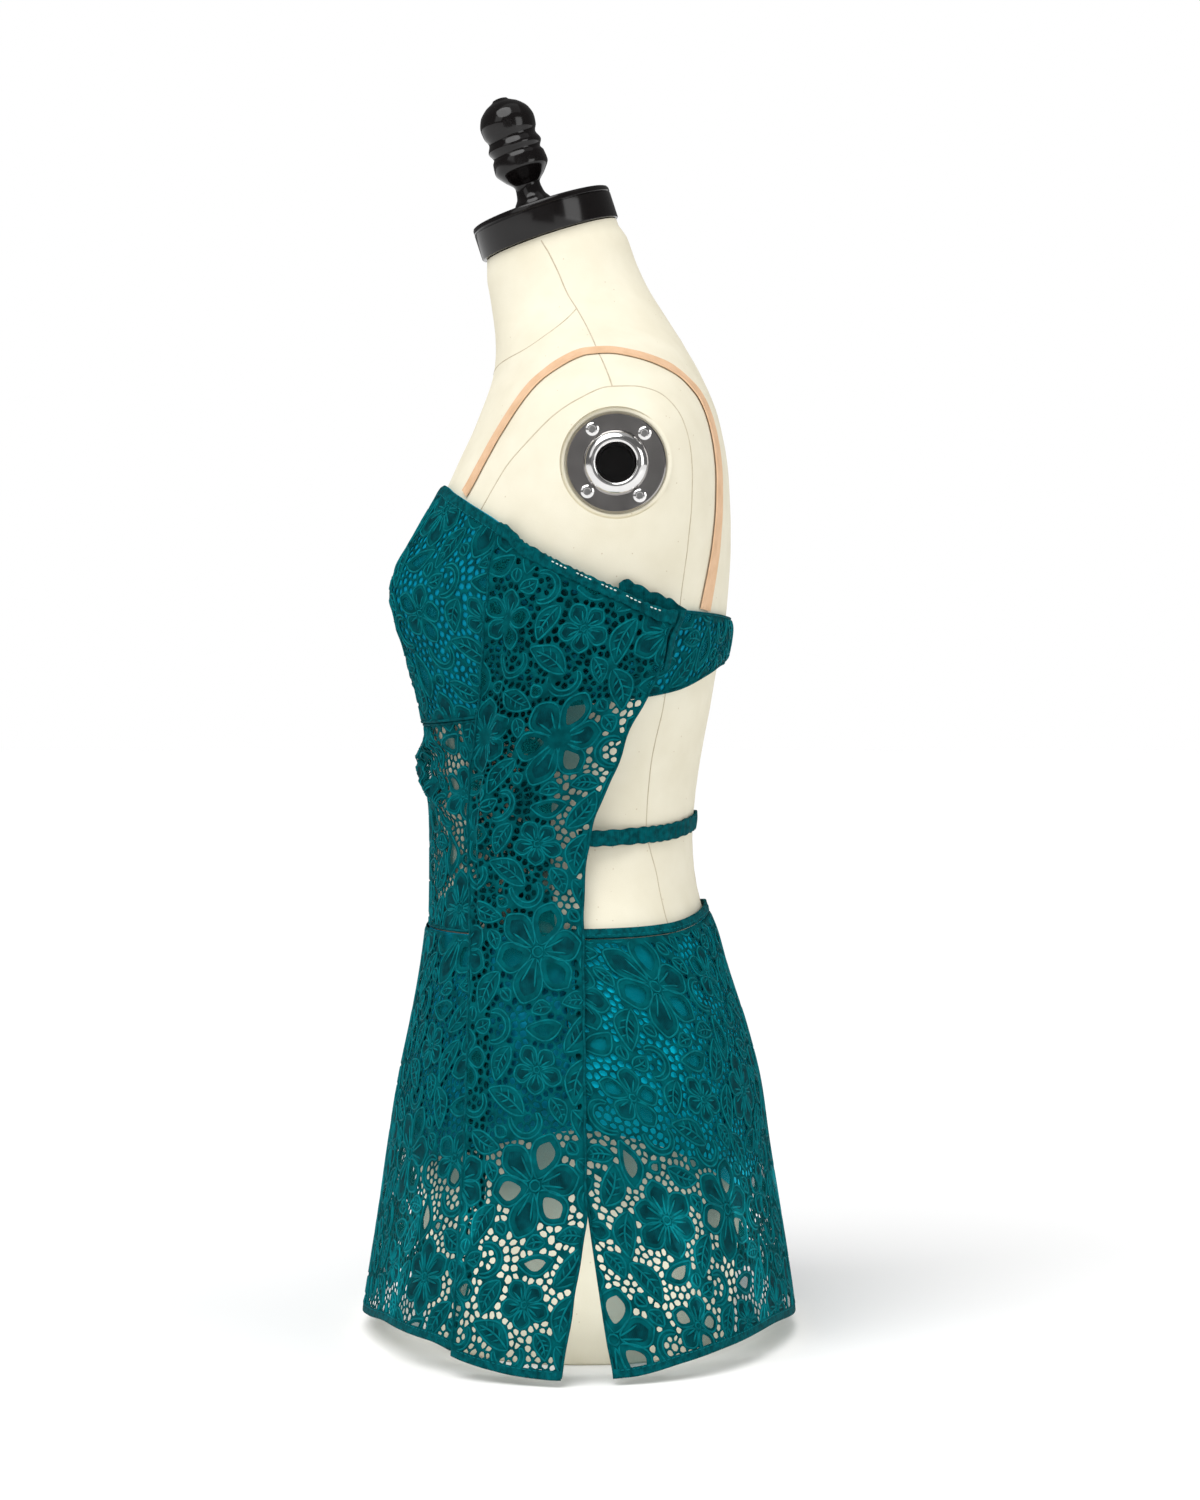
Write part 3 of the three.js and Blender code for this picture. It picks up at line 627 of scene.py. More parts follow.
def wall(
    columns: int, rows: int, place: Place, inner: float, outer: float, edge: float = 0.35
) -> Skin:
    """Build a closed wall of cloth over a grid, with its edges rounded.

    Args:
        columns: Cells across.
        rows: Cells up.
        place: Gives points from shares across and up, and how far they stand off.
        inner: The inner skin's place off the surface.
        outer: The outer skin's place off the surface.
        edge: How much of the thickness the rounding takes, from 0 to 0.5.

    Returns:
        A closed skin whose faces point out where place runs across to the wearer's left.
    """
    take = edge * (outer - inner)
    shares = np.clip(np.linspace(0, 1, rows + 1), 0.004, 0.996)
    around = [(0.0, outer - take), *((share, outer) for share in shares)]
    around += [(1.0, outer - take), (1.0, inner + take)]
    around += [*((share, inner) for share in shares[::-1]), (0.0, inner + take)]
    count = len(around)
    v, off = np.array(around).T
    grid_u, grid_v = np.meshgrid(np.linspace(0, 1, columns + 1), v, indexing="ij")
    grid_off = np.broadcast_to(off, grid_u.shape)
    corners = place(grid_u, grid_v, grid_off).reshape(-1, 3)
    faces = []
    for i in range(columns):
        for k in range(count):
            n = (k + 1) % count
            faces.append((i * count + k, (i + 1) * count + k, (i + 1) * count + n, i * count + n))
    half = rows + 2
    for base, turned in ((0, False), (columns * count, True)):
        for k in range(half):
            a, b = k, k + 1
            c, d = count - 1 - (k + 1), count - 1 - k
            face = (a, b, c, d) if b != c else (a, b, d)
            face = tuple(base + i for i in face)
            faces.append(face[::-1] if turned else face)
    along = run_along(corners.reshape(columns + 1, count, 3)[:, 1])
    up = np.linalg.norm(corners[rows + 1] - corners[1]) * v
    flat = np.stack(np.broadcast_arrays(along[:, None], up[None, :]), -1).reshape(-1, 2)
    return Skin(corners, faces, None, flat)


def ring_faces(start: int, rings: int, count: int) -> list[tuple[int, ...]]:
    """Return the faces of a closed tube, whose rings of corners follow one another.

    Args:
        start: The first corner's number.
        rings: How many rings there are.
        count: Corners in a ring.

    Returns:
        The faces, the two ends last.
    """
    faces: list[tuple[int, ...]] = []
    for i in range(rings - 1):
        for k in range(count):
            a, b = start + i * count + k, start + i * count + (k + 1) % count
            faces.append((a, b, b + count, a + count))
    faces.append(tuple(start + k for k in range(count))[::-1])
    last = start + (rings - 1) * count
    faces.append(tuple(last + k for k in range(count)))
    return faces


def sideways(path: Array, out: Array) -> Array:
    """Return the direction across a path on a surface.

    Args:
        path: The path's points.
        out: The surface's outward direction at each.

    Returns:
        A direction of length 1 for each point.
    """
    side = np.cross(np.gradient(path, axis=0), out)
    return side / np.maximum(np.linalg.norm(side, axis=1, keepdims=True), 1e-9)


def tubes(
    paths: Sequence[Array], sides: Sequence[Array], lifts: Sequence[Array],
    section: Sequence[tuple[float, float]], taper: float = 0.3,
) -> Skin:
    """Sweep a closed section along many open paths.

    Args:
        paths: The middle line of each, as points.
        sides: The direction across each point.
        lifts: The direction up from the cloth at each point.
        section: The section's corners, as across and up.
        taper: The section's size at a path's two ends, as a share.

    Returns:
        One skin with a closed tube for each path.
    """
    corners, faces = [], []
    start = 0
    count = len(section)
    across, up = np.array(section).T
    for path, side, lift in zip(paths, sides, lifts):
        n = len(path)
        size = np.ones(n)
        size[0] = size[-1] = taper
        ring = path[:, None] + side[:, None] * (across * size[:, None])[..., None]
        ring = ring + lift[:, None] * (up * size[:, None])[..., None]
        corners.append(ring.reshape(-1, 3))
        faces += ring_faces(start, n, count)
        start += n * count
    return Skin(np.concatenate(corners), faces)


def inside(points: Array, outline: Array) -> Array:
    """Say which flat points lie inside a closed outline.

    Args:
        points: The flat points.
        outline: The outline's corners.

    Returns:
        True for each point that lies inside.
    """
    x, y = points[:, 0][:, None], points[:, 1][:, None]
    x0, y0 = outline[:, 0], outline[:, 1]
    x1, y1 = np.roll(x0, -1), np.roll(y0, -1)
    crossing = (y0 > y) != (y1 > y)
    slope = np.where(y1 == y0, 1e-9, y1 - y0)
    return (np.sum(crossing & (x < (x1 - x0) * (y - y0) / slope + x0), axis=1) % 2).astype(bool)


def reach(points: Array, outline: Array, closed: bool = True) -> Array:
    """Return how far each flat point lies from an outline's nearest edge.

    Args:
        points: The flat points.
        outline: The outline's corners.
        closed: Whether its last corner joins the first.

    Returns:
        Each point's distance.
    """
    a = outline if closed else outline[:-1]
    b = np.roll(outline, -1, axis=0) if closed else outline[1:]
    run = b - a
    size = np.maximum(np.sum(run * run, axis=1), 1e-9)
    t = np.clip(np.einsum("pej,ej->pe", points[:, None] - a[None], run) / size, 0, 1)
    gap = points[:, None] - (a[None] + t[..., None] * run[None])
    return np.sqrt(np.min(np.sum(gap * gap, axis=2), axis=1))


def run_along(path: Array) -> Array:
    """Return the length run along a path at each of its points."""
    return np.concatenate([[0], np.cumsum(np.linalg.norm(np.diff(path, axis=0), axis=1))])


def resampled(path: Array, step: float) -> Array:
    """Return a path's points at an even step along it, ends kept.

    Args:
        path: The path's points.
        step: The distance between new points.

    Returns:
        The new points.
    """
    long = run_along(path)
    count = max(2, int(round(long[-1] / step)) + 1)
    at = np.linspace(0, long[-1], count)
    return np.stack([np.interp(at, long, path[:, k]) for k in range(path.shape[1])], 1)


@dataclass(frozen=True)
class Motif:
    """One solid figure of the lace: its outline, an inner window, and the cords drawn on it."""

    outline: Array
    window: Array | None
    sheer: bool
    cords: tuple[Array, ...]

    def moved(self, by: Array) -> "Motif":
        """Return a copy of the motif, moved."""
        window = None if self.window is None else self.window + by
        return Motif(self.outline + by, window, self.sheer, tuple(c + by for c in self.cords))


def turned_points(points: Array, angle: float, to: tuple[float, float]) -> Array:
    """Turn flat points by an angle in degrees and move them to a place.

    Args:
        points: The flat points.
        angle: The turn.
        to: The origin's new place.

    Returns:
        The new points.
    """
    a = math.radians(angle)
    turn = np.array([[math.cos(a), math.sin(a)], [-math.sin(a), math.cos(a)]])
    return points @ turn + np.array(to)


def petal(
    at: tuple[float, float], angle: float, start: float, long: float, wide: float, sheer: bool
) -> Motif:
    """Make a petal that widens outwards from a flower's middle, with a notch of veins.

    Args:
        at: The flower's middle.
        angle: The petal's direction, in degrees.
        start: How far from the middle it begins.
        long: Its length.
        wide: Its greatest width.
        sheer: Whether its inside is fine net rather than close cloth.

    Returns:
        The motif.
    """
    turn = np.linspace(0, 2 * math.pi, 22, endpoint=False)
    share = (1 - np.cos(turn)) / 2
    body = np.stack([start + long * share, wide / 2 * np.sin(turn) * (0.42 + 0.68 * share**0.8)], 1)
    body[:, 0] += 0.10 * long * np.exp(-((body[:, 1] / (0.16 * wide)) ** 2)) * share**3
    middle = np.array([start + 0.60 * long, 0.0])
    window = middle + (body - middle) * 0.62
    veins = [np.array([[start, v * 0.4], [start + 0.30 * long, v], [start + 0.62 * long, v * 1.9]])
             for v in (-0.11 * wide, 0.11 * wide)]
    cords = [np.concatenate([body, body[:1]])]
    cords += [resampled(vein, 2.5) for vein in veins] if not sheer else []
    place = lambda points: turned_points(points, angle, at)
    return Motif(place(body), place(window), sheer, tuple(place(c) for c in cords))


def leaf(
    at: tuple[float, float], angle: float, long: float, wide: float, bend: float, sheer: bool
) -> Motif:
    """Make a pointed leaf that bends to one side, with a middle vein and side veins.

    Args:
        at: The leaf's foot.
        angle: Its direction, in degrees.
        long: Its length.
        wide: Its greatest width.
        bend: How far it bends to one side.
        sheer: Whether its inside is fine net rather than close cloth.

    Returns:
        The motif.
    """
    share = np.linspace(0, 1, 12)
    half = wide / 2 * np.sin(math.pi * share**0.85) ** 0.9
    sway = bend * np.sin(math.pi * share)
    upper = np.stack([long * share, sway + half], 1)
    lower = np.stack([long * share, sway - half], 1)[1:-1][::-1]
    body = np.concatenate([upper, lower])
    spine = np.stack([long * share, sway], 1)
    middle = body.mean(axis=0)
    window = middle + (body - middle) * 0.58
    cords = [np.concatenate([body, body[:1]])]
    if not sheer:
        cords.append(spine[:-2])
        for k in (3, 5, 7):
            for side in (1, -1):
                tip = spine[k] + np.array([0.14 * long, side * half[k] * 0.72])
                cords.append(resampled(np.stack([spine[k], tip]), 2.2))
    place = lambda points: turned_points(points, angle, at)
    return Motif(place(body), place(window), sheer, tuple(place(c) for c in cords))


def scroll(path: Array, wide: float) -> Motif:
    """Make a band that follows a path, with a cord along each of its edges.

    Args:
        path: The band's middle line.
        wide: Its width.

    Returns:
        The motif.
    """
    path = resampled(path, 3.0)
    run = np.gradient(path, axis=0)
    side = np.stack([-run[:, 1], run[:, 0]], 1) / np.linalg.norm(run, axis=1)[:, None]
    half = wide / 2 * np.sin(np.linspace(0.12, math.pi - 0.12, len(path))) ** 0.35
    left, right = path + side * half[:, None], path - side * half[:, None]
    body = np.concatenate([left, right[::-1]])
    return Motif(body, None, False, (np.concatenate([body, body[:1]]),))


def spiral(
    at: tuple[float, float], start: float, turns: float, outer: float, inner: float
) -> Array:
    """Return a spiral's points, from its outer end inwards.

    Args:
        at: Its middle.
        start: Its first angle, in degrees.
        turns: How often it goes round.
        outer: Its first radius.
        inner: Its last radius.

    Returns:
        The points.
    """
    share = np.linspace(0, 1, int(14 * abs(turns)) + 6)
    radius = outer + (inner - outer) * share
    angle = np.radians(start + 360 * turns * share)
    return np.stack([at[0] + radius * np.cos(angle), at[1] + radius * np.sin(angle)], 1)


@dataclass
class LaceRepeat:
    """One repeat of the lace: flowers, leaves and scrolls, with an irregular net between them.

    The repeat is laid in columns, and every other column is dropped by half.
    """

    wide: float = 118.0
    high: float = 146.0
    net: float = 4.9
    bar: float = 0.62
    guard: float = 2.5
    clear: float = 1.4
    seed: int = 11
    motifs: list[Motif] = field(default_factory=list)
    holes: list[Array] = field(default_factory=list)

    def build(self) -> "LaceRepeat":
        """Lay out the flowers, fill in with scrolls and leaves, then cut the net's holes.

        Returns:
            The same repeat.
        """
        self._taken = np.zeros((round(self.wide), round(self.high)), bool)
        self._flower((30, 40), 4.5, 25.0, 23.0, 6, 12, (False, True))
        self._flower((88, 112), 3.6, 19.0, 19.0, 6, 35, (False, False))
        self._flower((92, 44), 3.0, 15.0, 15.5, 5, 5, (True, False))
        self._flower((30, 112), 2.8, 12.5, 13.5, 5, 50, (False, False))
        self._fill()
        self._net()
        return self

    def _fill(self) -> None:
        """Fit scrolls and leaves into the room that is left, the largest first."""
        draw = np.random.default_rng(self.seed)
        for long, wide, most in (
            (0, 3.4, 4), (31, 14.5, 6), (25, 13, 7), (19, 11, 8), (14, 9.5, 9), (10, 8, 5),
        ):
            fitted = 0
            for _ in range(500):
                at = tuple(draw.uniform((0, 0), (self.wide, self.high)))
                angle, bend = draw.uniform(0, 360), draw.choice((-1.0, 1.0))
                if long:
                    sheer = bool(draw.random() < 0.35)
                    figure = leaf(at, angle, long, wide, 0.10 * long * bend, sheer)
                else:
                    figure = scroll(spiral(at, angle, 0.62 * bend, 12.5, 7.5), wide)
                ring = resampled(np.concatenate([figure.outline, figure.outline[:1]]), 1.5)
                if fitted < most and not self._taken[self._cell(ring)].any():
                    self._add(figure)
                    fitted += 1

    def _cell(self, points: Array) -> tuple[Array, Array]:
        """Return where flat points fall in the repeat's map of taken places.

        Args:
            points: The flat points.

        Returns:
            Each point's column and row on the map.
        """
        column = np.floor(points[:, 0] / self.wide)
        x = points[:, 0] - column * self.wide
        y = (points[:, 1] - (column % 2) * self.high / 2) % self.high
        size = self._taken.shape
        return np.minimum(x.astype(int), size[0] - 1), np.minimum(y.astype(int), size[1] - 1)

    def _add(self, motif: Motif) -> None:
        """Keep a motif, and mark its place and a narrow strip round it as taken.

        Args:
            motif: The motif.
        """
        self.motifs.append(motif)
        low, high = motif.outline.min(0) - 3, motif.outline.max(0) + 3
        grid = np.meshgrid(np.arange(low[0], high[0], 0.7), np.arange(low[1], high[1], 0.7))
        spots = np.stack([axis.ravel() for axis in grid], 1)
        held = inside(spots, motif.outline) | (reach(spots, motif.outline) < self.clear)
        self._taken[self._cell(spots[held])] = True

    def _flower(
        self, at: tuple[float, float], start: float, long: float, wide: float, count: int,
        angle: float, sheer: tuple[bool, bool],
    ) -> None:
        """Add a flower: its petals, and a ring at its middle.

        Args:
            at: The flower's middle.
            start: How far out its petals begin.
            long: A petal's length.
            wide: A petal's width.
            count: How many petals it has.
            angle: The first petal's direction, in degrees.
            sheer: Whether the even and the odd petals are fine net.
        """
        for k in range(count):
            grow = 1 + 0.10 * math.sin(2.3 * k + at[0])
            turn = angle + 360 * k / count
            self._add(petal(at, turn, start, long * grow, wide, sheer[k % 2]))
        ring = spiral(at, 0, 1.0, start * 0.8, start * 0.8)[:-1]
        self._add(Motif(ring, None, False, (np.concatenate([ring, ring[:1]]),)))

    def shifts(self, low: Array, high: Array) -> list[Array]:
        """Return where the repeat has to be laid to cover a flat box.

        Args:
            low: The box's low corner.
            high: Its high corner.

        Returns:
            The shifts.
        """
        found = []
        for i in range(math.floor(low[0] / self.wide) - 1, math.ceil(high[0] / self.wide) + 1):
            drop = self.high / 2 if i % 2 else 0.0
            for j in range(math.floor(low[1] / self.high) - 2, math.ceil(high[1] / self.high) + 1):
                found.append(np.array([i * self.wide, j * self.high + drop]))
        return found

    def _around(self, items: Sequence[Motif]) -> list[Motif]:
        """Return the motifs of this repeat and of those around it that come near.

        Args:
            items: This repeat's motifs.

        Returns:
            The motifs.
        """
        near = []
        margin = 24.0
        for by in self.shifts(np.array([0.0, 0.0]), np.array([self.wide, self.high])):
            for motif in items:
                low, high = motif.outline.min(0) + by, motif.outline.max(0) + by
                clear = (high < -margin).any() or low[0] > self.wide + margin
                if not clear and low[1] < self.high + margin:
                    near.append(motif.moved(by))
        return near

    def _net(self) -> None:
        """Seed the net, relax it, and keep each cell as a rounded hole."""
        draw = np.random.default_rng(self.seed)
        near = self._around(self.motifs)
        margin = 16.0
        pitch_up = self.net * 0.87
        rows = int((self.high + 2 * margin) / pitch_up)
        spots = []
        for j in range(rows):
            for i in range(int((self.wide + 2 * margin) / self.net)):
                spots.append(((i + 0.5 * (j % 2)) * self.net - margin, j * pitch_up - margin))
        spots = np.array(spots) + draw.uniform(-0.9, 0.9, (len(spots), 2))
        guards_out, guards_in = [], []
        for motif in near:
            closed = np.concatenate([motif.outline, motif.outline[:1]])
            path = resampled(closed, self.net * 0.86)[:-1]
            run = np.roll(path, -1, axis=0) - np.roll(path, 1, axis=0)
            size = np.maximum(np.linalg.norm(run, axis=1), 1e-6)[:, None]
            side = np.stack([run[:, 1], -run[:, 0]], 1) / size
            sign = np.where(inside(path + side * 0.8, motif.outline), -1.0, 1.0)[:, None]
            guards_out.append(path + side * sign * self.guard)
            guards_in.append(path - side * sign * self.guard * 0.8)
        out, held = np.concatenate(guards_out), np.concatenate(guards_in)
        keep = np.ones(len(out), bool)
        free = np.ones(len(spots), bool)
        for motif in near:
            keep &= ~inside(out, motif.outline) & (reach(out, motif.outline) > self.guard * 0.72)
            free &= ~inside(spots, motif.outline)
            free &= reach(spots, motif.outline) > self.guard + 1.2
        out = self._thinned(out[keep], self.net * 0.66)
        gaps = np.linalg.norm(spots[:, None] - out[None], axis=2).min(axis=1)
        spots = spots[free & (gaps > self.net * 0.74)]
        count = len(out)
        seeds = np.concatenate([out, spots, held])
        for _ in range(3):
            cells = self._cells(seeds)
            for i in range(count, count + len(spots)):
                if i in cells and len(cells[i]) > 3:
                    seeds[i] = lerp(seeds[i], cells[i].mean(axis=0), 0.8)
        cells = self._cells(seeds)
        for i in range(count + len(spots)):
            x, y = seeds[i]
            if i in cells and 0 <= x < self.wide and 0 <= y < self.high:
                hole = self._hole(cells[i])
                if hole is not None:
                    self.holes.append(hole)

    @staticmethod
    def _thinned(points: Array, least: float) -> Array:
        """Drop points that stand closer than a least distance to one that is kept.

        Args:
            points: The points.
            least: The least distance.

        Returns:
            The points that are kept.
        """
        kept: list[Array] = []
        for point in points:
            if all(abs(point[0] - k[0]) > least or abs(point[1] - k[1]) > least
                   or np.hypot(*(point - k)) > least for k in kept):
                kept.append(point)
        return np.array(kept)

    @staticmethod
    def _cells(seeds: Array) -> dict[int, Array]:
        """Return each seed's cell, as the ring of points that are midway between seeds.

        Args:
            seeds: The seeds.

        Returns:
            The ring of every seed with a small closed cell.
        """
        result = delaunay_2d_cdt([Vector(s) for s in seeds], [], [], 0, 1e-6, True)
        corners = np.array([tuple(v) for v in result[0]])
        origin = {new: old[0] for new, old in enumerate(result[3]) if old}
        triangles = np.array([tuple(face) for face in result[2] if len(face) == 3])
        a, b, c = (corners[triangles[:, k]] for k in range(3))
        ab, ac = b - a, c - a
        area = 2 * (ab[:, 0] * ac[:, 1] - ab[:, 1] * ac[:, 0])
        area = np.where(np.abs(area) < 1e-9, 1e-9, area)
        ab2, ac2 = np.sum(ab * ab, 1), np.sum(ac * ac, 1)
        x = (ac[:, 1] * ab2 - ab[:, 1] * ac2) / area
        y = (ab[:, 0] * ac2 - ac[:, 0] * ab2) / area
        centres = a + np.stack([x, y], 1)
        rings: dict[int, list[Array]] = {}
        for triangle, centre in zip(triangles, centres):
            for corner in triangle:
                if int(corner) in origin:
                    rings.setdefault(origin[int(corner)], []).append(centre)
        cells = {}
        for i, ring in rings.items():
            points = np.array(ring)
            away = points - seeds[i]
            if len(points) > 3 and np.abs(away).max() < 9:
                cells[i] = points[np.argsort(np.arctan2(away[:, 1], away[:, 0]))]
        return cells

    def _hole(self, cell: Array) -> Array | None:
        """Shrink a cell by half a bar and round its corners, or drop it if little is left.

        Args:
            cell: The cell's ring.

        Returns:
            The hole's outline, or None.
        """
        middle = cell.mean(axis=0)
        a, b = cell, np.roll(cell, -1, axis=0)
        run = b - a
        size = np.linalg.norm(run, axis=1)
        long = size > 0.15
        a, run, size = a[long], run[long], size[long]
        normal = np.stack([run[:, 1], -run[:, 0]], 1) / size[:, None]
        gap = np.einsum("ej,ej->e", a - middle, normal)
        normal, gap = normal * np.sign(gap)[:, None], np.abs(gap) - self.bar
        if len(gap) < 3 or gap.min() < 0.9:
            return None
        turn = np.linspace(0, 2 * math.pi, 8, endpoint=False) + 0.3
        ray = np.stack([np.cos(turn), np.sin(turn)], 1)
        pull = np.maximum(ray @ normal.T, 0) / gap
        radius = np.sum(pull**7, axis=1) ** (-1 / 7)
        return middle + ray * np.minimum(radius, 3.4)[:, None]


REPEAT = LaceRepeat().build()


@dataclass
class Cloth:
    """A piece of cloth on a curved surface, with a flat layout in which its lace is drawn.

    Subclasses give place, bottom and top. across runs from 0 to 1, and height is in millimetres.
    """

    name: str
    node: str
    phase: tuple[float, float] = (0.0, 0.0)
    lace_off: float = 0.3
    edge_gap: float = 1.2
    cord_step: float = 2.6
    levels: int = 70
    stations: int = 80

    def place(self, across: Array, height: Array, off: Values) -> Array:
        """Return points at shares across and heights, off the cloth's inner skin."""
        raise NotImplementedError

    def bottom(self, across: Array) -> Array:
        """Return the lower edge's height."""
        raise NotImplementedError

    def top(self, across: Array) -> Array:
        """Return the upper edge's height."""
        raise NotImplementedError

    def __post_init__(self) -> None:
        """Measure the cloth's width at many heights, so that its layout is flat and true."""
        u = np.linspace(0, 1, self.stations + 1)
        low, high = float(self.bottom(u).min()), float(self.top(u).max())
        z = np.linspace(low - 1, high + 1, self.levels + 1)
        grid_u, grid_z = np.meshgrid(u, z)
        points = self.place(grid_u, grid_z, self.lace_off)
        step = np.linalg.norm(np.diff(points, axis=1), axis=2)
        arc = np.concatenate([np.zeros((len(z), 1)), np.cumsum(step, axis=1)], axis=1)
        middle = arc[:, self.stations // 2][:, None]
        self._u, self._z, self._arc = u, z, arc - middle

    def flat_from(self, across: Array, height: Array) -> Array:
        """Return flat points for shares across and heights.

        Args:
            across: Shares across.
            height: Heights.

        Returns:
            The flat points.
        """
        at = np.clip((height - self._z[0]) / (self._z[1] - self._z[0]), 0, self.levels - 1e-6)
        j = at.astype(int)
        k = np.clip(across * self.stations, 0, self.stations - 1e-6)
        i = k.astype(int)
        ti, tj = k - i, at - j
        low = lerp(self._arc[j, i], self._arc[j, i + 1], ti)
        high = lerp(self._arc[j + 1, i], self._arc[j + 1, i + 1], ti)
        return np.stack([lerp(low, high, tj), height], -1)

    def across_from(self, flat: Array) -> Array:
        """Return the share across of each flat point.

        Args:
            flat: The flat points.

        Returns:
            The shares.
        """
        at = np.clip((flat[:, 1] - self._z[0]) / (self._z[1] - self._z[0]), 0, self.levels - 1e-6)
        j = at.astype(int)
        across = np.zeros(len(flat))
        for level in np.unique(j):
            here = j == level
            low = np.interp(flat[here, 0], self._arc[level], self._u)
            high = np.interp(flat[here, 0], self._arc[level + 1], self._u)
            across[here] = lerp(low, high, (at - j)[here])
        return across

    def lifted(self, flat: Array, off: float) -> tuple[Array, Array]:
        """Return the points over flat places, and the outward direction at each.

        Args:
            flat: The flat places.
            off: How far they stand off the inner skin.

        Returns:
            The points and the directions.
        """
        across = self.across_from(flat)
        base = self.place(across, flat[:, 1], off)
        ahead = self.place(across, flat[:, 1], off + 1.0)
        out = ahead - base
        return base, out / np.linalg.norm(out, axis=1, keepdims=True)

    def outline(self) -> Array:
        """Return the cloth's flat outline, counter-clockwise from its low front corner.

        Returns:
            The outline's corners.
        """
        step = 3.0
        u = np.linspace(0, 1, 90)
        low = self.flat_from(u, self.bottom(u))
        high = self.flat_from(u, self.top(u))
        sides = []
        for end in (1.0, 0.0):
            z = np.linspace(float(self.bottom(np.array([end]))[0]),
                            float(self.top(np.array([end]))[0]), 120)
            sides.append(self.flat_from(np.full(len(z), end), z))
        parts = [low, sides[0], high[::-1], sides[1][::-1]]
        return np.concatenate([resampled(part, step)[:-1] for part in parts])

    def lace(self) -> Piece:
        """Build the cut lace as one thin sheet with real holes.

        Returns:
            The new piece.
        """
        outline = self.outline()
        low, high = outline.min(0), outline.max(0)
        phase = np.array(self.phase)
        shifts = [s + phase for s in REPEAT.shifts(low - phase, high - phase)]
        holes = [hole + by for by in shifts for hole in REPEAT.holes]
        stack = np.array(holes)
        middle = stack.mean(axis=1)
        boxed = np.all((middle > low) & (middle < high), axis=1)
        stack, middle = stack[boxed], middle[boxed]
        clear = reach(middle, outline) > self.edge_gap + 1.9
        clear &= inside(middle, outline)
        stack = stack[clear]
        corners: list[Vector] = [Vector(p) for p in outline]
        faces: list[list[int]] = [list(range(len(outline)))]
        kinds = [0]

        def add(points: Array, kind: int) -> None:
            """Add a figure, counter-clockwise.

            Args:
                points: The figure's outline.
                kind: 1 for a hole, 2 for close cloth and 3 for fine net.
            """
            first = len(corners)
            x, y = points[:, 0], points[:, 1]
            if np.dot(x, np.roll(y, -1)) < np.dot(y, np.roll(x, -1)):
                points = points[::-1]
            corners.extend(Vector(p) for p in points)
            faces.append(list(range(first, first + len(points))))
            kinds.append(kind)

        for hole in stack:
            add(hole, 1)
        for by in shifts:
            for motif in REPEAT.motifs:
                body = motif.outline + by
                if (body.max(0) < low).any() or (body.min(0) > high).any():
                    continue
                if motif.window is not None:
                    add(motif.window + by, 3 if motif.sheer else 2)
        result = delaunay_2d_cdt(corners, [], faces, 0, 1e-4, True)
        flat = np.array([tuple(v) for v in result[0]])
        keep, marks = [], []
        for face, origins in zip(result[2], result[5]):
            kind = {kinds[i] for i in origins}
            if 0 in kind and 1 not in kind:
                keep.append(tuple(face))
                marks.append(2 if 3 in kind else 1 if 2 in kind else 0)
        used = np.unique(np.array(keep))
        renumber = np.full(len(flat), -1)
        renumber[used] = np.arange(len(used))
        keep = [tuple(int(renumber[i]) for i in face) for face in keep]
        flat = flat[used]
        points, out = self.lifted(flat, self.lace_off)
        first = np.array(keep[: min(400, len(keep))])
        a, b, c = (points[first[:, k]] for k in range(3))
        if np.sum(np.cross(b - a, c - a) * out[first[:, 0]]) < 0:
            keep = [face[::-1] for face in keep]
        area = self._shoelace(outline) - sum(self._shoelace(hole) for hole in stack)
        self.cloth_area = area * METRES * METRES
        size = (high - low) * METRES
        self.cut_size = (float(size[0]) + 0.001, float(size[1]) + 0.001)
        skin = Skin(points, keep, marks, flat)
        finishes = (Finish.LACE, Finish.PETAL, Finish.TULLE)
        return skin.piece(self.name, finishes, CLOTH)

    @staticmethod
    def _shoelace(points: Array) -> float:
        """Return the area inside a closed flat outline."""
        x, y = points[:, 0], points[:, 1]
        return abs(float(np.dot(x, np.roll(y, -1)) - np.dot(y, np.roll(x, -1)))) / 2

    def cords(self) -> Piece:
        """Build the raised cords that outline the lace's motifs.

        Returns:
            The new piece.
        """
        outline = self.outline()
        low, high = outline.min(0), outline.max(0)
        phase = np.array(self.phase)
        runs = []
        for by in REPEAT.shifts(low - phase, high - phase):
            for motif in REPEAT.motifs:
                for cord in motif.cords:
                    path = cord + by + phase
                    if (path.max(0) < low).any() or (path.min(0) > high).any():
                        continue
                    path = resampled(path, self.cord_step)
                    good = inside(path, outline) & (reach(path, outline) > 0.9)
                    runs.extend(self._stretches(path, good))
        sizes = [len(run) for run in runs]
        flat = np.concatenate(runs)
        points, out = self.lifted(flat, self.lace_off + CLOTH / 2)
        ends = np.cumsum(sizes)[:-1]
        paths, lifts = np.split(points, ends), np.split(out, ends)
        sides = [sideways(path, lift) for path, lift in zip(paths, lifts)]
        section = ((-CORD_WIDE, -0.1), (0.0, -0.3), (CORD_WIDE, -0.1), (0.0, CORD_HIGH))
        skin = tubes(paths, sides, lifts, section)
        return skin.piece(f"{self.name}_cords", (Finish.CORD,))

    @staticmethod
    def _stretches(path: Array, good: Array) -> list[Array]:
        """Split a path into its good stretches of three points or more.

        Args:
            path: The path's points.
            good: Whether each of them is good.

        Returns:
            The stretches.
        """
        found, start = [], None
        for i, fine in enumerate([*good, False]):
            if fine and start is None:
                start = i
            if not fine and start is not None:
                if i - start >= 3:
                    found.append(path[start:i])
                start = None
        return found

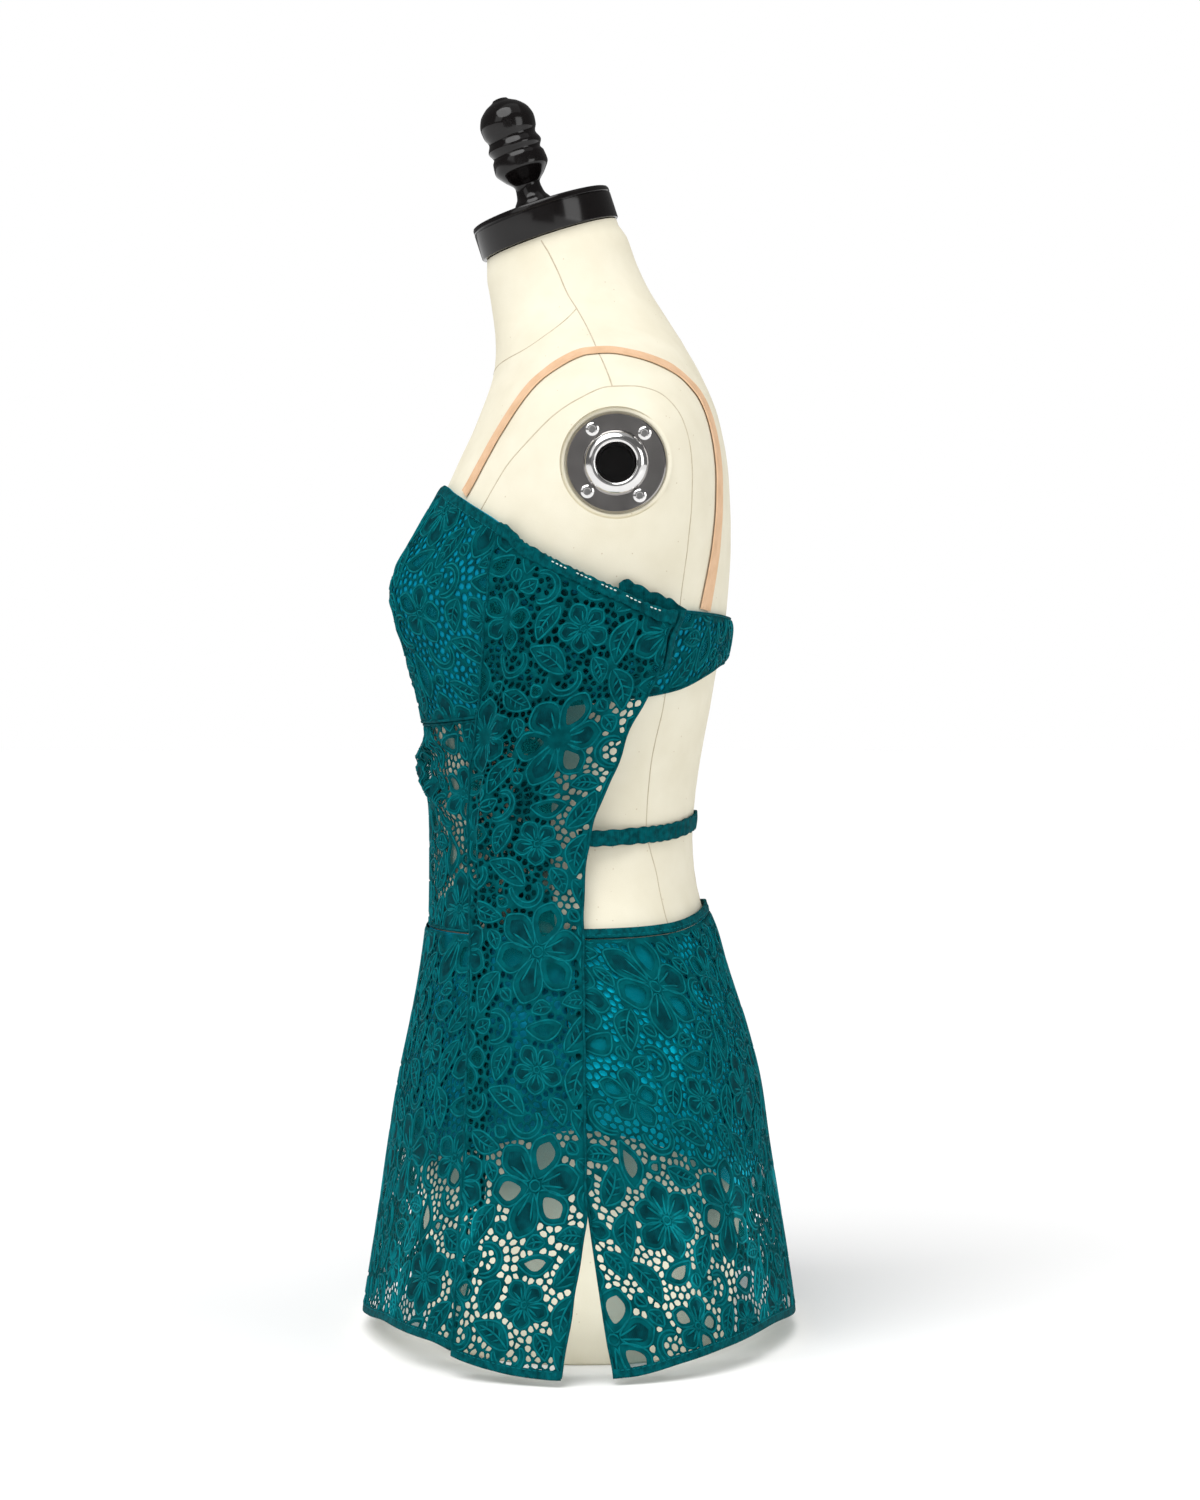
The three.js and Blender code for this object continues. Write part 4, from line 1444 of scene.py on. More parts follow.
    def edge_cord(
        self, name: str, across: Array, height: Array, off: float, radius: float
    ) -> Piece:
        """Build a rolled edge that follows a line on the cloth.

        Args:
            name: The piece's name.
            across: The line's shares across.
            height: The line's heights.
            off: How far its middle stands off the inner skin.
            radius: The roll's radius.

        Returns:
            The new piece.
        """
        points = self.place(across, height, off)
        out = self.place(across, height, off + 1.0) - points
        out /= np.linalg.norm(out, axis=1, keepdims=True)
        turn = np.linspace(0, 2 * math.pi, 8, endpoint=False)
        section = [(radius * math.cos(t), radius * math.sin(t)) for t in turn]
        side = sideways(points, out)
        return tubes([points], [side], [out], section, 0.7).piece(name, (Finish.TRIM,))

    def dressed(self) -> list[Piece]:
        """Build the lace and its cords, and dress both."""
        lace = dress(self.lace(), (self.node,))
        return [lace, dress(self.cords())]

    def side_roll(
        self, name: str, end: float, count: int, radius: float, sway: float = 0.0
    ) -> Piece:
        """Roll one of the side edges.

        Args:
            name: The piece's name.
            end: The edge's share across.
            count: Stations along the roll.
            radius: The roll's radius.
            sway: How far the roll strays from its line, as a share across.

        Returns:
            The new piece.
        """
        low, high = (float(edge(np.array([end]))[0]) for edge in (self.bottom, self.top))
        height = np.linspace(low + 1.0, high - 1.0, count)
        return self.edge_cord(name, end + sway * np.sin(height / 5.3), height, 0.35, radius)

    def hem_stitches(self, name: str, across: Array, off: float) -> Piece:
        """Stitch the folded hem a millimetre under its upper edge."""
        return STITCHES.along(name, self.place, across, self.bottom(across) + HEM_WIDTH - 1.0, off)

    def hem(self, name: str, columns: int, inner: float) -> Piece:
        """Turn up the hem as a flat folded band.

        Args:
            name: The piece's name.
            columns: Cells along the hem.
            inner: The band's inner skin over the cloth's.

        Returns:
            The new piece.
        """
        place = band_between(self.place, self.bottom, lambda u: self.bottom(u) + HEM_WIDTH)
        return wall(columns, 4, place, inner, inner + 1.1).piece(name, (Finish.TRIM,))


@dataclass
class BodiceFront(Cloth):
    """The bodice front over the cups, from side seam to side seam."""

    def place(self, across: Array, height: Array, off: Values) -> Array:
        """Return points of the bodice front."""
        angle = lerp(-BODICE_SIDE, BODICE_SIDE, across)
        return FORM.off(height, angle, OVER_CUP + off)

    def bottom(self, across: Array) -> Array:
        """Return the under-bust edge's height."""
        return BODICE_EDGES.at("bottom", np.abs(lerp(-BODICE_SIDE, BODICE_SIDE, across))) + EDGE_GAP

    def top(self, across: Array) -> Array:
        """Return the neckline's height."""
        return BODICE_EDGES.at("top", np.abs(lerp(-BODICE_SIDE, BODICE_SIDE, across))) - EDGE_GAP


@dataclass
class BackBand(Cloth):
    """The band round the back, which spans the hollow between the shoulder blades."""

    start: float = BODICE_SIDE + EDGE_GAP

    def turn(self, across: Array) -> Array:
        """Return the angle over the left side to the back."""
        return folded(lerp(self.start, 360 - self.start, across))

    def place(self, across: Array, height: Array, off: Values) -> Array:
        """Return points of the band, with the pulls that run in from its two ends.

        Args:
            across: Shares across.
            height: Heights.
            off: How far they stand off the inner skin.

        Returns:
            The points.
        """
        turn = self.turn(across)
        low, high = self.bottom(across), self.top(across)
        share = np.clip((height - low) / (high - low), 0, 1)
        lift = (3.2 - share - 3.4 * (2 * share - 1) ** 4) * smooth((turn - 130) / 50)
        pull = smooth((150 - turn) / 38) * np.sin(share * 9.4 + 1.3 * np.sin(turn / 9)) * 0.33
        angle = lerp(self.start, 360 - self.start, across)
        return FORM.off(height, angle, OVER_CUP + off + lift + pull)

    def bottom(self, across: Array) -> Array:
        """Return the band's lower edge."""
        return BODICE_EDGES.at("bottom", self.turn(across)) + EDGE_GAP

    def top(self, across: Array) -> Array:
        """Return the band's upper edge."""
        return BODICE_EDGES.at("top", self.turn(across)) - EDGE_GAP


@dataclass
class Midriff(Cloth):
    """The sheer front midriff, twisted once at the centre front."""

    knot_height: float = 390.0
    knot_high: float = 15.0
    knot_wide: float = 34.0
    knot_proud: float = 6.4
    fold_high: float = 4.8
    fold_wide: float = 6.5
    fold_rise: float = 0.36

    def place(self, across: Array, height: Array, off: Values) -> Array:
        """Return points of the midriff, with the twist and the folds that run from it.

        Args:
            across: Shares across.
            height: Heights.
            off: How far they stand off the inner skin.

        Returns:
            The points.
        """
        angle = lerp(-MIDRIFF_SIDE, MIDRIFF_SIDE, across)
        x = FORM.point(height, angle)[..., 0]
        low, high = self.bottom(across), self.top(across)
        share = (height - low) / (high - low)
        edge = smooth(share / 0.12) * smooth((1 - share) / 0.12)
        side = smooth((58 - np.abs(angle)) / 20)
        lift = self.twist(x, np.asarray(height)) * edge * side
        return FORM.off(height, angle, MIDRIFF_OFF + off + lift)

    def twist(self, x: Array, height: Array) -> Array:
        """Return how far the twist lifts the cloth.

        Args:
            x: How far each point lies to the side.
            height: Heights.

        Returns:
            The lift.
        """
        up = height - self.knot_height
        knot = self.knot_proud * np.exp(-((x / self.knot_wide) ** 2) - (up / self.knot_high) ** 2)
        knot = knot * (1 + 0.22 * np.cos(up * 0.55 + x * 0.05))
        run = self.fold_rise * np.abs(x)
        away = np.minimum(np.abs(up - run), np.abs(up + run))
        fade = smooth(np.abs(x) / 30) * smooth((130 - np.abs(x)) / 60)
        fold = self.fold_high * fade * np.exp(-((away / self.fold_wide) ** 2))
        slope = np.abs(up) / np.maximum(np.abs(x), 8.0)
        rays = 1.3 * np.cos(slope * 22.0) * fade * smooth((1.0 - slope) / 0.5)
        return knot + fold + rays

    def bottom(self, across: Array) -> Array:
        """Return the waist seam's height."""
        return np.full(np.shape(across), FRONT_WAIST + SEAM)

    def top(self, across: Array) -> Array:
        """Return the under-bust seam's height."""
        angle = np.abs(lerp(-MIDRIFF_SIDE, MIDRIFF_SIDE, across))
        return BODICE_EDGES.at("bottom", angle) - SEAM


@dataclass
class SidePanel(Cloth):
    """The long panel of the left side, from the bust to the hem, open at its back edge."""

    hem_turn: tuple[float, float] = (62.0, 92.0)
    folds: tuple[tuple[float, float, float, float, float], ...] = (
        (0.08, 0.030, -0.9, 330, 552), (0.16, 0.036, 5.0, 250, 548), (0.25, 0.035, -0.9, 380, 520),
        (0.36, 0.042, 3.6, 330, 516), (0.52, 0.040, -0.8, 300, 470), (0.68, 0.044, 4.0, 350, 506),
        (0.80, 0.030, -0.8, 100, 300), (0.26, 0.06, 1.2, 20, 200), (0.62, 0.06, 1.4, 10, 150),
    )

    def place(self, across: Array, height: Array, off: Values) -> Array:
        """Return points of the panel, with its long soft folds.

        Args:
            across: Shares across.
            height: Heights.
            off: How far they stand off the inner skin.

        Returns:
            The points.
        """
        across, height = np.broadcast_arrays(np.asarray(across, float), np.asarray(height, float))
        front, back = SIDE_EDGES.at("front", height), SIDE_EDGES.at("back", height)
        y = lerp(front, back, across)
        hang = PANEL_HANG.at("off", height) * lerp(0.45, 1.0, smooth(across / 0.35))
        stand = np.maximum(PANEL_LEAST, hang) + PANEL_HANG.at("flare", height) * across**2
        crease = self.crease(across, height)
        lift = off + crease
        on_form = FORM.off(height, FORM.angle_at(height, y), stand + lift)
        on_skirt = SKIRT.off(height, SKIRT.angle_at(height, y), PANEL_ON_SKIRT + lift)
        wave = 1.6 * np.sin(across * 2.5 * math.pi) * smooth((150 - height) / 150)
        on_skirt[..., 0] += np.maximum(0, wave)
        share = smooth((height - 290) / 55)[..., None]
        return lerp(on_skirt, on_form, share)

    def crease(self, across: Array, height: Array) -> Array:
        """Return the folds' height over the panel's plain form, never below its inner skin.

        Args:
            across: Shares across.
            height: Heights.

        Returns:
            The folds' height.
        """
        total = np.zeros(np.shape(height))
        for middle, wide, high, low, top in self.folds:
            sway = middle + 0.03 * np.sin(height / 61 + 40 * middle)
            fade = smooth((height - low) / 60) * smooth((top - height) / 60)
            total = total + high * fade * np.exp(-(((across - sway) / wide) ** 2))
        return total + 0.5

    def bottom(self, across: Array) -> Array:
        """Return the hem's height."""
        return HEM.at("height", lerp(*self.hem_turn, across)) + HEM_GAP

    def top(self, across: Array) -> Array:
        """Return the height of the seam under the casing."""
        return PANEL_TOP.at("top", lerp(PANEL_FRONT, PANEL_BACK, across)) - CASING_WIDTH + 1.0


@dataclass
class SkirtFront(Cloth):
    """The skirt's front, from the waist seam to the hem."""

    half_turn: float = 58.0

    def place(self, across: Array, height: Array, off: Values) -> Array:
        """Return points of the skirt front.

        Args:
            across: Shares across.
            height: Heights.
            off: How far they stand off the inner skin.

        Returns:
            The points.
        """
        height = np.asarray(height, float)
        edge = SIDE_EDGES.at("skirt_front", height)
        side = SKIRT.angle_at(height, edge)
        run = 2 * np.asarray(across) - 1
        wave = (1.5 * np.cos(run * 7.5) - 0.3) * smooth((230 - height) / 200)
        return SKIRT.off(height, run * side, off - LACE + wave)

    def bottom(self, across: Array) -> Array:
        """Return the hem's height."""
        return HEM.at("height", np.abs(2 * np.asarray(across) - 1) * self.half_turn) + HEM_GAP

    def top(self, across: Array) -> Array:
        """Return the waist seam's height."""
        return np.full(np.shape(across), FRONT_WAIST - EDGE_GAP)


@dataclass
class SkirtBack(Cloth):
    """The skirt's back, from the waistband to the hem, open at both sides below the hip."""

    half_turn: float = 84.0
    pulls: tuple[tuple[float, float, float], ...] = (
        (-24.0, 0.9, 130.0), (-38.0, 1.1, 110.0), (-13.0, 0.8, 90.0), (-52.0, 0.7, 80.0),
    )

    def place(self, across: Array, height: Array, off: Values) -> Array:
        """Return points of the skirt back, with the pulls that run from the side waist.

        Args:
            across: Shares across.
            height: Heights.
            off: How far they stand off the inner skin.

        Returns:
            The points.
        """
        height = np.asarray(height, float)
        edge = SIDE_EDGES.at("skirt_back", height)
        side = 180 - SKIRT.angle_at(height, edge)
        run = 1 - 2 * np.asarray(across)
        wave = 1.4 * np.cos(run * 9.0) * smooth((200 - height) / 180)
        lift = off - LACE + wave + self.pull(np.abs(run), height)
        return SKIRT.off(height, 180 - run * side, lift)

    def pull(self, run: Array, height: Array) -> Array:
        """Return the drawn creases' height. Each runs down and back from the side waist.

        Args:
            run: Shares of the way from the middle to an edge.
            height: Heights.

        Returns:
            The creases' height.
        """
        out = (1 - run) * 190.0
        down = 282.0 - height
        angle = np.degrees(np.arctan2(down, np.maximum(out, 0.5)))
        far = np.hypot(out, down)
        total = np.zeros(np.shape(height))
        for slope, high, long in self.pulls:
            fade = smooth(far / 18) * smooth((long - far) / 60)
            total = total + high * fade * np.exp(-(((angle + slope) / 5.0) ** 2))
        return total

    def turn(self, across: Array) -> Array:
        """Return the angle over the left side to the back."""
        return 180 - np.abs(1 - 2 * np.asarray(across)) * self.half_turn

    def bottom(self, across: Array) -> Array:
        """Return the hem's height."""
        return HEM.at("height", self.turn(across)) + HEM_GAP

    def top(self, across: Array) -> Array:
        """Return the height of the seam under the waistband."""
        top = BACK_WAIST.at("height", self.turn(across))
        return top - WAISTBAND_WIDTH + WAISTBAND_RISE - EDGE_GAP


def dress(
    piece: Piece, nodes: Sequence[str] = (),
) -> Piece:
    """Let a piece ride on the costume's body, and hide the solids that it replaces.

    Args:
        piece: The finished piece.
        nodes: The solids that it replaces.

    Returns:
        The same piece.
    """
    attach(piece, BODY)
    if nodes:
        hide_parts(*nodes)
    LOG.info("piece %s: %d faces", piece.name, len(piece.data.polygons))
    return piece


def sheet(
    piece: Piece, size: tuple[float, float], area: float,
    with_pieces: Sequence[Piece] = (),
) -> None:
    """Log a piece of cloth's flat cut and its area.

    Args:
        piece: The finished piece.
        size: The cut's width and length, in metres.
        area: The cloth's area, in square metres.
        with_pieces: Trims that are sewn to it; not used.
    """
    wide, long = size
    area = min(max(area, 0.3 * wide * long), wide * long)
    LOG.info("%s: cut %.3f by %.3f m, cloth %.4f m2", piece.name, wide, long, area)
    list(with_pieces)


def plain_sheet(
    piece: Piece, flat: tuple[float, float]
) -> None:
    """Log a plain piece of cloth's cut, with an area half of its closed thin mesh's.

    Args:
        piece: The finished piece.
        flat: Its cut size, in millimetres.
    """
    area = sum(face.area for face in piece.data.polygons) / 2
    sheet(piece, (flat[0] * METRES, flat[1] * METRES), area)


def turned(
    profile: Sequence[tuple[float, float]], sides: int, closed: bool
) -> Piece:
    """Turn a profile about +Z with edit-mode tools: a circle is extruded and sized ring by ring.

    Args:
        profile: Radius and height of each ring, in millimetres.
        sides: Corners in a ring.
        closed: Whether the last ring meets the first, as on a ring with a bore.

    Returns:
        The turned piece, still about the origin.
    """
    radius, height = profile[0]
    select_only()
    bpy.ops.mesh.primitive_circle_add(
        vertices=sides, radius=radius * METRES, location=(0, 0, height * METRES),
        fill_type="NOTHING" if closed else "NGON",
    )
    piece = bpy.context.object
    bpy.ops.object.transform_apply(location=True)
    bpy.ops.object.mode_set(mode="EDIT")
    bpy.ops.mesh.select_all(action="SELECT")
    for after_radius, after_height in profile[1:]:
        rise = (0.0, 0.0, (after_height - height) * METRES)
        bpy.ops.mesh.extrude_region_move(TRANSFORM_OT_translate={"value": rise})
        size = after_radius / radius
        bpy.ops.transform.resize(
            value=(size, size, 1.0), center_override=(0.0, 0.0, after_height * METRES)
        )
        radius, height = after_radius, after_height
    bpy.ops.mesh.select_all(action="SELECT")
    bpy.ops.mesh.remove_doubles(threshold=1e-6)
    bpy.ops.mesh.normals_make_consistent(inside=False)
    bpy.ops.object.mode_set(mode="OBJECT")
    select_only()
    return piece


def finished(
    piece: Piece, name: str, finish: Finish, place: Matrix, sharp: float = 40.0
) -> Piece:
    """Name a hard piece, give it its finish, and move its mesh to its place.

    Args:
        piece: The piece.
        name: Its name.
        finish: Its finish.
        place: Where its mesh goes.
        sharp: Edges that turn by more than this many degrees stay sharp.

    Returns:
        The same piece.
    """
    piece.name = piece.data.name = name
    piece.data.materials.clear()
    piece.data.materials.append(material_of(finish))
    piece.data.transform(place)
    piece.matrix_world = Matrix.Identity(4)
    select_only(piece)
    bpy.ops.object.shade_smooth_by_angle(angle=math.radians(sharp))
    select_only()
    return piece


def smooth_profile(table: Table, column: str, steps: int) -> list[tuple[float, float]]:
    """Read a table of radius by height at even steps."""
    keys = np.linspace(table.rows[0][0], table.rows[-1][0], steps)
    return [(float(r), float(h)) for r, h in zip(table.at(column, keys), keys)]


@dataclass
class DressForm:
    """The limbless form: its padded torso, seams, neck cap, turned finial and arm plates."""

    columns: int = 144
    level: float = 4.5
    arm_y: float = 24.5
    arm_z: float = 594.0
    facet: float = 160.0
    facet_radius: float = 37.0
    socket_radius: float = 13.0
    socket_deep: float = 14.0
    flange: float = 33.0
    flange_deep: float = 3.0
    collar: float = 21.0
    collar_deep: float = 9.5
    bolt_circle: float = 26.8
    bolt_angles: tuple[float, ...] = (45.5, 125.5, 225.5, 305.5)
    cap_radius: float = 49.8
    cap_high: float = 23.5
    cap_foot: tuple[float, float, float] = (0.0, -20.6, 758.2)
    lean: float = 18.0
    finial_forward: float = 3.6
    finial: Table = Table("height radius", (
        (0, 14), (4, 13.5), (10, 10), (17, 9), (24, 14.8), (31, 19.2), (38, 18.6), (41, 17),
        (46, 19.2), (52, 17), (57, 19), (63, 19.6), (70, 17.5), (76, 12), (80.5, 5),
    ))
    neck_seam: tuple[tuple[float, float], ...] = (
        (663, 0), (666.6, 15.2), (673.5, 42.6), (686.6, 65.7), (704.4, 89.5),
    )
    shoulder_seam: tuple[tuple[float, float], ...] = (
        (761.5, 81.2), (730.1, 87.5), (703.7, 89.2), (688.2, 89.2), (674, 89.6), (660.8, 90.7),
        (649.7, 91.3), (645, 91.5),
    )
    arm_seam: tuple[tuple[float, float], ...] = (
        (520, 44), (548, 46), (570, 49), (591.4, 53.5), (608.9, 60.4), (625.6, 69), (636.7, 78.9),
        (644.5, 90.6), (645.1, 102.3), (642.1, 113.5), (635.1, 120.2), (623.3, 124.5),
        (605.4, 126.2), (586.8, 125.7), (569.7, 125.7), (544, 125.2), (516.9, 125.1),
        (477.7, 125.8), (438.2, 125.8), (397, 124.6), (349.7, 125.2), (335.4, 128), (314.4, 131.3),
        (280, 132), (200, 132), (100, 132), (6, 132),
    )
    back_seam: tuple[tuple[float, float], ...] = (
        (690, 180), (640, 180), (560, 180), (460, 180), (340, 180), (200, 180), (6, 180),
    )

    def build(self) -> list[Piece]:
        """Build every piece of the form.

        Returns:
            The pieces, each riding on the body.
        """
        pieces = [self.torso()]
        pieces += self.seams()
        pieces += self.cap()
        for side, name in ((1, "left"), (-1, "right")):
            pieces += self.plate(side, name)
        return pieces

    def torso(self) -> Piece:
        """Loft the torso through its sections and cut the arm facets and their sockets.

        Returns:
            The torso.
        """
        heights = np.concatenate([
            [0.0, 0.6, 1.6, 3.2], np.arange(8, 764.2, self.level), [763.0, 764.2]])
        angles = 360 * np.arange(self.columns) / self.columns
        grid_h, grid_a = np.meshgrid(heights, angles, indexing="ij")
        points = FORM.point(grid_h, grid_a)
        foot = np.array([2.4, 1.1, 0.4, 0.0])
        for i, inset in enumerate(foot):
            flat = points[i, :, :2]
            points[i, :, :2] = flat * (1 - inset / np.linalg.norm(flat, axis=1, keepdims=True))
        faces = ring_faces(0, len(heights), self.columns)
        torso = Skin(points.reshape(-1, 3), faces).piece("form_torso_linen", (Finish.LINEN,))
        for side in (1, -1):
            for radius, deep in ((self.facet_radius, 0.0), (self.socket_radius, self.socket_deep)):
                self._cut(torso, side, radius, deep)
        select_only(torso)
        bpy.ops.object.shade_smooth_by_angle(angle=math.radians(38))
        select_only()
        dress(torso, ("form_torso",))
        return torso

    def _cut(self, torso: Piece, side: int, radius: float, deep: float) -> None:
        """Cut a round facet or socket into one side of the torso.

        Args:
            torso: The torso.
            side: 1 on the left and -1 on the right.
            radius: The cut's radius.
            deep: How far it goes in behind the facet.
        """
        select_only()
        long = 40.0
        middle = side * (self.facet - deep + long / 2)
        bpy.ops.mesh.primitive_cylinder_add(
            vertices=72, radius=radius * METRES, depth=long * METRES,
            location=(middle * METRES, self.arm_y * METRES, self.arm_z * METRES),
            rotation=(0, math.pi / 2, 0),
        )
        tool = bpy.context.object
        cut = torso.modifiers.new("cut", "BOOLEAN")
        cut.operation = "DIFFERENCE"
        cut.solver = "EXACT"
        cut.object = tool
        apply_modifiers(torso)
        bpy.data.objects.remove(tool)

    def seams(self) -> list[Piece]:
        """Lay the sewn seams of the linen cover, half sunk in the cloth.

        Returns:
            The seams.
        """
        pieces = []
        runs = {"neck": self.neck_seam, "shoulder": self.shoulder_seam, "arm": self.arm_seam}
        for name, stations in runs.items():
            left = self._seam(f"form_seam_{name}_left", np.array(stations))
            pieces += [left, mirrored_piece(left, f"form_seam_{name}_right")]
        pieces.append(self._seam("form_seam_back", np.array(self.back_seam)))
        for piece in pieces:
            dress(piece)
        return pieces

    @staticmethod
    def _seam(name: str, stations: Array) -> Piece:
        """Build one seam as a fine ridge along heights and angles.

        Args:
            name: The seam's name.
            stations: A height and an angle for each.

        Returns:
            The seam.
        """
        key = np.arange(len(stations), dtype=float)
        table = Table("station height angle", tuple(
            (k, *map(float, row)) for k, row in zip(key, stations)))
        s = np.linspace(0, len(stations) - 1, len(stations) * 10)
        height, angle = table.at("height", s), table.at("angle", s)
        path, out = FORM.off(height, angle, 0.0), FORM.normal(height, angle)
        section = ((-0.55, -0.3), (-0.35, 0.16), (0.35, 0.16), (0.55, -0.3))
        skin = tubes([path], [sideways(path, out)], [out], section)
        return skin.piece(name, (Finish.FORM_SEAM,))

    def cap(self) -> list[Piece]:
        """Turn the black neck cap and the finial, and lean them forward together.

        Returns:
            The cap and the finial.
        """
        lean = Matrix.Rotation(math.radians(self.lean), 4, "X")
        foot = Matrix.Translation(Vector(self.cap_foot) * METRES) @ lean
        r, h = self.cap_radius, self.cap_high
        profile = [(0.02, 0.0), (r - 1.2, 0.0), (r - 0.4, 0.3), (r, 1.0), (r, h - 5.2),
                   (r - 0.5, h - 4.7), (r - 0.5, h - 4.3), (r, h - 3.8), (r - 0.1, h - 1.6),
                   (r - 0.7, h - 0.5), (r - 1.8, h), (0.02, h)]
        cap = finished(turned(profile, 96, False), "form_cap_turned", Finish.BLACK, foot, 35)
        dress(cap, ("form_neck_cap",))
        rise = Matrix.Translation((0, -self.finial_forward * METRES, (h + SEAM) * METRES))
        outline = smooth_profile(self.finial, "radius", 64)
        outline += [(3.2, 81.0), (0.02, 81.2)]
        knob = finished(turned([(0.02, 0.0), *outline], 64, False), "form_finial_turned",
                        Finish.BLACK, foot @ rise, 50)
        dress(knob, ("form_finial",))
        return [cap, knob]

    def plate(self, side: int, name: str) -> list[Piece]:
        """Turn one arm plate: a dark flange, a polished collar, a dark bore and four bolts.

        Args:
            side: 1 on the left and -1 on the right.
            name: The side's name.

        Returns:
            The plate's pieces.
        """
        basis = Matrix(((0, 0, side, 0), (side, 0, 0, 0), (0, 1, 0, 0), (0, 0, 0, 1)))
        spot = Vector((side * (self.facet + SEAM), self.arm_y, self.arm_z)) * METRES
        place = Matrix.Translation(spot) @ basis
        flange = [(self.collar - 1.0, 0.0), (self.flange - 0.4, 0.0), (self.flange, 0.5),
                  (self.flange, self.flange_deep - 0.9), (self.flange - 0.9, self.flange_deep),
                  (self.collar + 1.4, self.flange_deep), (self.collar - 1.0, self.flange_deep - 0.3),
                  (self.collar - 1.0, 0.0)]
        plate = finished(turned(flange, 96, True), f"arm_flange_{name}", Finish.STEEL_DARK, place, 30)
        dress(plate, (f"armhole_plate_{name}",))
        bore, deep = self.socket_radius, self.collar_deep
        collar = [(bore, 0.2), (self.collar + 0.6, 0.2), (self.collar + 0.6, self.flange_deep + 0.8),
                  (self.collar - 0.2, deep - 3.6), (self.collar - 1.8, deep - 1.7),
                  (self.collar - 4.0, deep - 0.4), (self.collar - 6.0, deep), (bore + 1.0, deep - 0.4),
                  (bore, deep - 1.6), (bore, 0.2)]
        ring = finished(turned(collar, 96, True), f"arm_collar_{name}", Finish.STEEL, place, 50)
        dress(ring)
        lip = [(self.flange + 0.5, -0.4), (self.facet_radius - 0.3, -0.4),
               (self.facet_radius, 0.6), (self.facet_radius - 1.2, 1.5), (self.flange + 1.0, 1.1),
               (self.flange + 0.5, -0.4)]
        rim = finished(turned(lip, 96, True), f"arm_rim_{name}", Finish.LINEN, place, 60)
        dress(rim)
        cup = [(0.02, -12.5), (bore - 0.4, -12.5), (bore - 0.4, 1.2), (bore - 1.3, 1.2),
               (bore - 1.3, -11.6), (0.02, -11.6)]
        well = finished(turned(cup, 64, False), f"arm_socket_{name}_sleeve", Finish.BLACK,
                        place, 30)
        dress(well)
        pieces = [plate, ring, rim, well]
        for k, angle in enumerate(self.bolt_angles):
            pieces.append(self._bolt(f"arm_bolt_{name}_{k + 1}", place, angle))
        return pieces

    def _bolt(self, name: str, place: Matrix, angle: float) -> Piece:
        """Model one domed bolt with a slot, on the flange's bolt circle.

        Args:
            name: The bolt's name.
            place: The plate's place.
            angle: Where the bolt stands, in degrees.

        Returns:
            The bolt.
        """
        select_only()
        turn = math.radians(angle)
        bpy.ops.mesh.primitive_cylinder_add(
            vertices=24, radius=4.4 * METRES, depth=2.6 * METRES,
            location=(0, 0, (self.flange_deep + 1.0) * METRES), end_fill_type="NGON",
        )
        bolt = bpy.context.object
        bpy.ops.object.transform_apply(location=True)
        top = (self.flange_deep + 2.2) * METRES
        bpy.ops.object.mode_set(mode="EDIT")
        bpy.ops.mesh.select_all(action="DESELECT")
        shape = bmesh.from_edit_mesh(bolt.data)
        for face in shape.faces:
            face.select = face.calc_center_median().z > top and abs(face.normal.z) > 0.9
        bmesh.update_edit_mesh(bolt.data)
        for inset, rise in ((0.9, 0.5), (1.0, 0.15), (0.3, -0.9)):
            bpy.ops.mesh.inset(thickness=inset * METRES)
            bpy.ops.transform.translate(value=(0, 0, rise * METRES))
        bpy.ops.object.mode_set(mode="OBJECT")
        spot = Matrix.Translation(
            Vector((math.cos(turn), math.sin(turn), 0)) * self.bolt_circle * METRES)
        finished(bolt, name, Finish.STEEL, place @ spot, 35)
        return dress(bolt)


@dataclass
class Stitching:
    """Short raised stitches in rows."""

    long: float = 2.4
    pitch: float = 3.6
    radius: float = 0.3
    finish: Finish = Finish.STITCH
    group: int = 1
    missing: int = 0

    def along(
        self, name: str, place: Place, across: Array, up: Array, off: float
    ) -> Piece:
        """Lay a row of stitches on a cloth.

        Args:
            name: The piece's name.
            place: Gives points of the cloth.
            across: Closely spaced shares across.
            up: The height, or the share up, at each.
            off: How far the stitches stand off the inner skin.

        Returns:
            One piece with every stitch of the row.
        """
        path = place(across, up, off)
        out = place(across, up, off + 1.0) - path
        long = run_along(path)
        starts = np.arange(self.pitch, long[-1] - self.pitch, self.pitch)
        starts = starts[np.arange(len(starts)) % (self.group + self.missing) < self.group]
        paths, lifts, sides = [], [], []
        for start in starts:
            at = start + np.linspace(0, self.long, 4)
            points, lift = (
                np.stack([np.interp(at, long, line[:, k]) for k in range(3)], 1)
                for line in (path, out))
            side = np.cross(points[-1] - points[0], lift)
            paths.append(points)
            lifts.append(lift)
            sides.append(side / np.linalg.norm(side, axis=1, keepdims=True))
        r = self.radius
        section = ((-r, 0.0), (0.0, -r * 0.6), (r, 0.0), (0.0, r))
        return tubes(paths, sides, lifts, section, 0.5).piece(name, (self.finish,))


STITCHES = Stitching()
CASING_SLOTS = Stitching(1.9, 3.0, 0.5, Finish.CLEAR, 4, 2)


def band_between(
    place: Place, low: Callable[[Array], Array], high: Callable[[Array], Array]
) -> Place:
    """Return a place function over shares up, between a band's two edges.

    Args:
        place: Gives points at shares across and heights.
        low: Gives the lower edge's height.
        high: Gives the upper edge's height.

    Returns:
        A function that gives points at shares across and up.
    """
    def spot(across: Array, share: Array, off: Values) -> Array:
        """Return points at shares across and up."""
        bottom, top = low(across), high(across)
        return place(across, lerp(bottom, top, share), off)
    return spot


